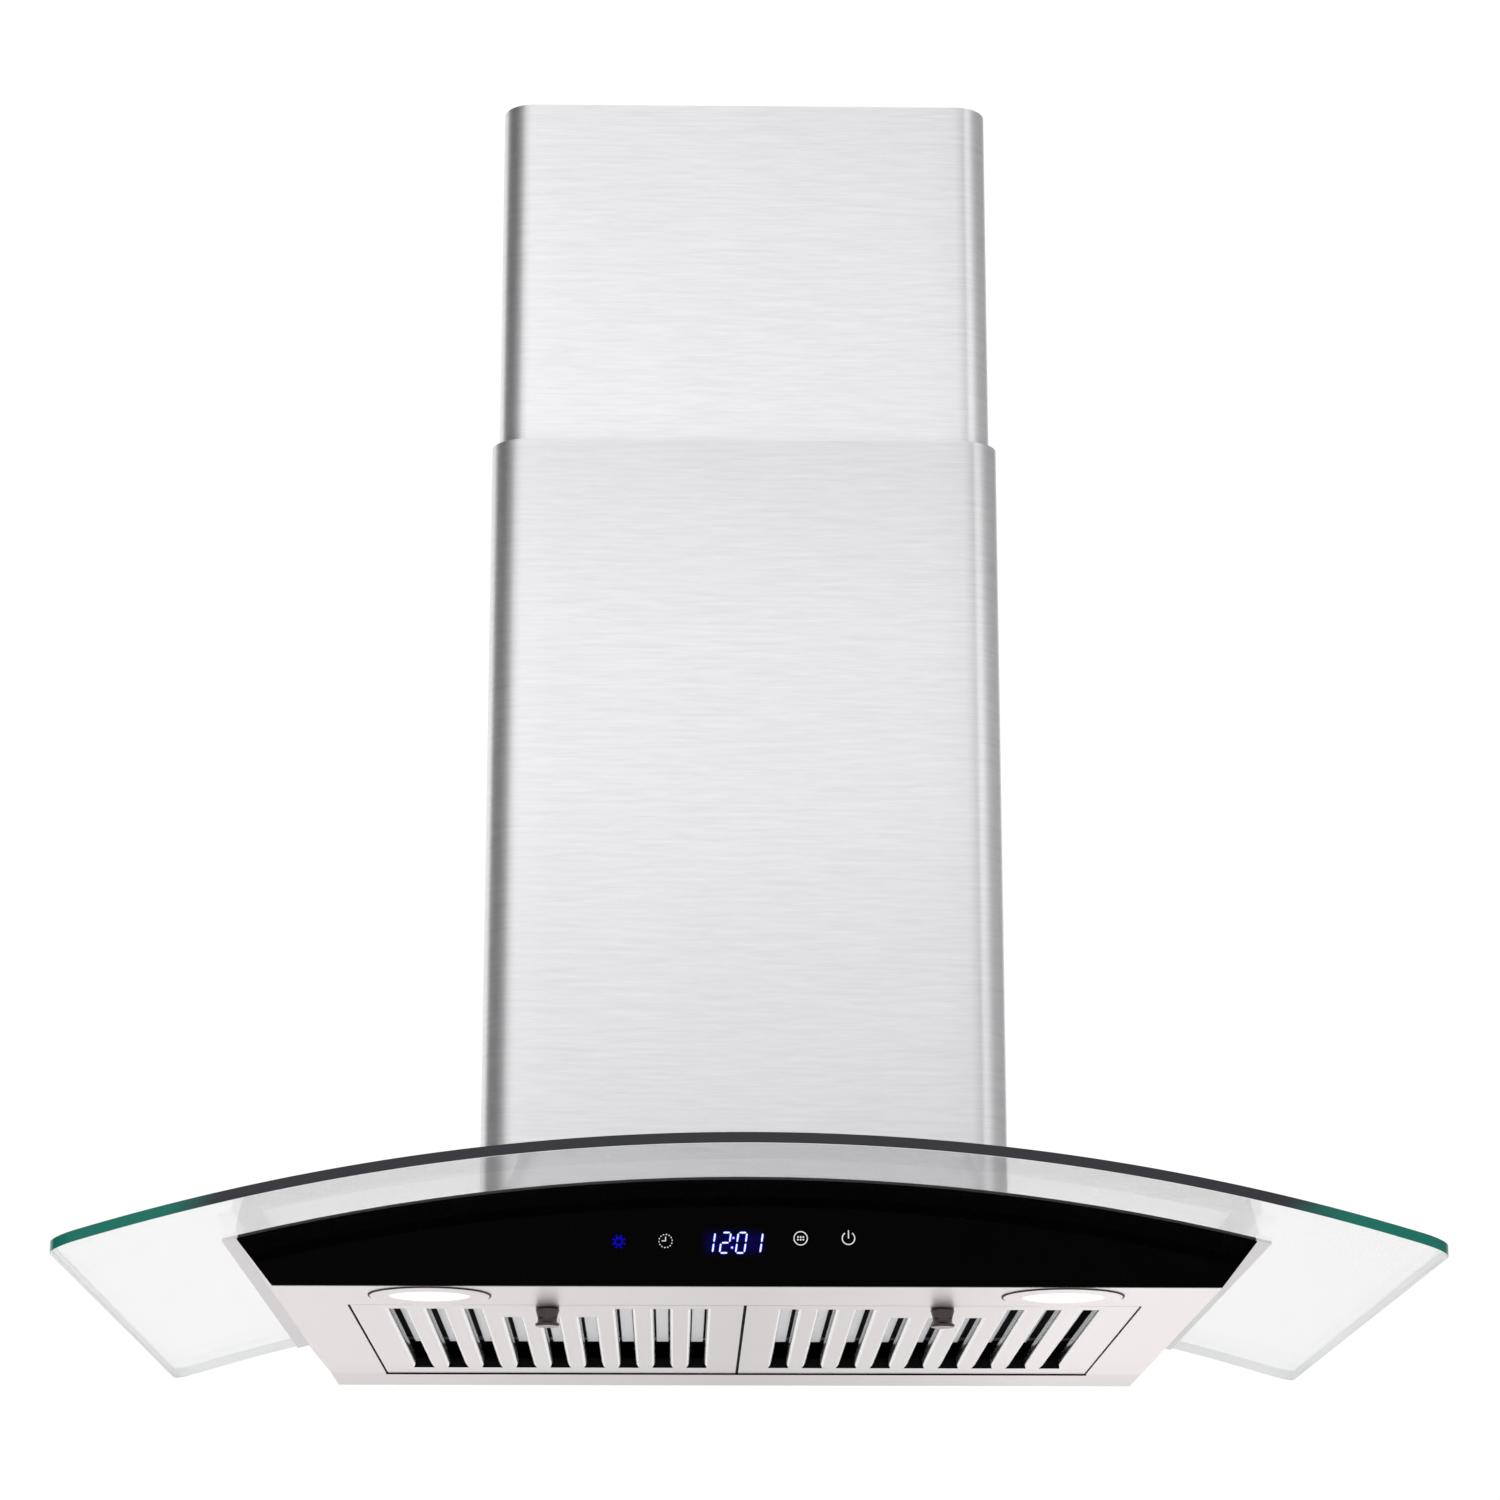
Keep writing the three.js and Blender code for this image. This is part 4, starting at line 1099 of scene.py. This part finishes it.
# Brightness of the surroundings round the hood: degrees from straight ahead, and level.
AROUND = [
    (-180, 0.95),
    (-128, 0.90),
    (-112, 0.16),
    (-100, 0.06),
    (-72, 0.05),
    (-52, 0.26),
    (-36, 0.82),
    (-24, 0.96),
    (-12, 1.04),
    (-3, 1.05),
    (2, 0.92),
    (6, 0.84),
    (16, 0.76),
    (30, 0.68),
    (35, 0.50),
    (39, 0.50),
    (43, 0.92),
    (58, 0.98),
    (72, 0.62),
    (88, 0.38),
    (140, 0.34),
    (158, 0.88),
    (180, 0.95),
]
# How much of AROUND shows, and the even level elsewhere, from straight down (0) to straight up (1).
FLAG_SHARE = [(0.0, 0.0), (0.40, 0.0), (0.47, 1.0), (0.88, 1.0), (0.97, 0.0), (1.0, 0.0)]
EVEN_LEVEL = [(0.0, 0.97), (0.45, 0.95), (0.7, 1.05), (0.85, 1.5), (1.0, 1.9)]


def studio():
    """White surroundings with a soft panel in front, a dark flag on the left and a grey one on the right.

    The flags stand round the horizon; below and above it the surroundings are even.
    """
    world = bpy.data.worlds.new("studio")
    bpy.context.scene.world = world
    world.use_nodes = True
    tree = world.node_tree
    tree.nodes.clear()
    node = partial(add_node, tree)
    towards = node("ShaderNodeTexCoord").outputs["Generated"]
    x, y, z = node("ShaderNodeSeparateXYZ", {0: towards}).outputs
    back = node("ShaderNodeMath", {0: y, 1: -1.0}, operation="MULTIPLY").outputs[0]
    turn = node("ShaderNodeMath", {0: x, 1: back}, operation="ARCTAN2").outputs[0]
    turn_range = {"Value": turn, "From Min": -math.pi, "From Max": math.pi}
    share = node("ShaderNodeMapRange", turn_range).outputs["Result"]
    level = ramp_of(tree, [(0.5 + degrees / 360, value) for degrees, value in AROUND], share)
    height = node("ShaderNodeMapRange", {"Value": z, "From Min": -1.0, "From Max": 1.0}).outputs["Result"]
    flags = ramp_of(tree, FLAG_SHARE, height)
    even = ramp_of(tree, EVEN_LEVEL, height)
    mixed = node("ShaderNodeMix", {"Factor": flags}, data_type="RGBA")
    tree.links.new(even, mixed.inputs[6])
    tree.links.new(level, mixed.inputs[7])
    lit_by = node("ShaderNodeBackground", {"Color": mixed.outputs[2], "Strength": 1.0})
    seen = node("ShaderNodeBackground", {"Color": (1.0, 1.0, 1.0, 1.0), "Strength": 1.02})
    camera_ray = node("ShaderNodeLightPath").outputs["Is Camera Ray"]
    both = node("ShaderNodeMixShader", {0: camera_ray, 1: lit_by.outputs[0], 2: seen.outputs[0]})
    out = node("ShaderNodeOutputWorld")
    tree.links.new(both.outputs[0], out.inputs["Surface"])


studio()

FLOOR_Z, FLOOR_HALF = -4.6, 40.0
floor_paint = simple("floor", (0.92, 0.915, 0.91), 0.8, speckle=3.0, contrast=0.01, bump=0.0)
floor_mesh = bpy.data.meshes.new("floor")
corners = [(x * FLOOR_HALF, y * FLOOR_HALF, FLOOR_Z) for x, y in ((-1, -1), (1, -1), (1, 1), (-1, 1))]
floor_mesh.from_pydata(corners, [], [(0, 1, 2, 3)])
floor_mesh.materials.append(floor_paint.mat)
floor = bpy.data.objects.new("floor", floor_mesh)
bpy.context.scene.collection.objects.link(floor)

LIGHT_PLACE, LIGHT_TARGET = Vector((-1.6, -3.2, 1.1)), Vector((0, 0, -0.5))
lamp = bpy.data.lights.new("key_light", "AREA")
lamp.shape = "SQUARE"
lamp.size = 1.6
lamp.energy = 22
key_light = bpy.data.objects.new("key_light", lamp)
bpy.context.scene.collection.objects.link(key_light)
key_light.location = LIGHT_PLACE
key_light.rotation_euler = (LIGHT_TARGET - LIGHT_PLACE).to_track_quat("-Z", "Y").to_euler()
key_light.visible_glossy = False  # the surroundings alone make the reflections

camera_data = bpy.data.cameras.new("camera")
camera_data.lens = 99.46
camera_data.sensor_width = 36
camera_data.clip_end = 200
camera = bpy.data.objects.new("camera", camera_data)
camera.location = (-0.0412, -2.5535, -1.0793)
camera.rotation_euler = (math.radians(90 + 15.17), 0, math.radians(-1.05))
bpy.context.scene.collection.objects.link(camera)
bpy.context.scene.camera = camera

scene = bpy.context.scene
scene.view_settings.view_transform = "Standard"
scene.view_settings.look = "None"
scene.cycles.max_bounces = 16
scene.cycles.transmission_bounces = 16
scene.cycles.glossy_bounces = 8
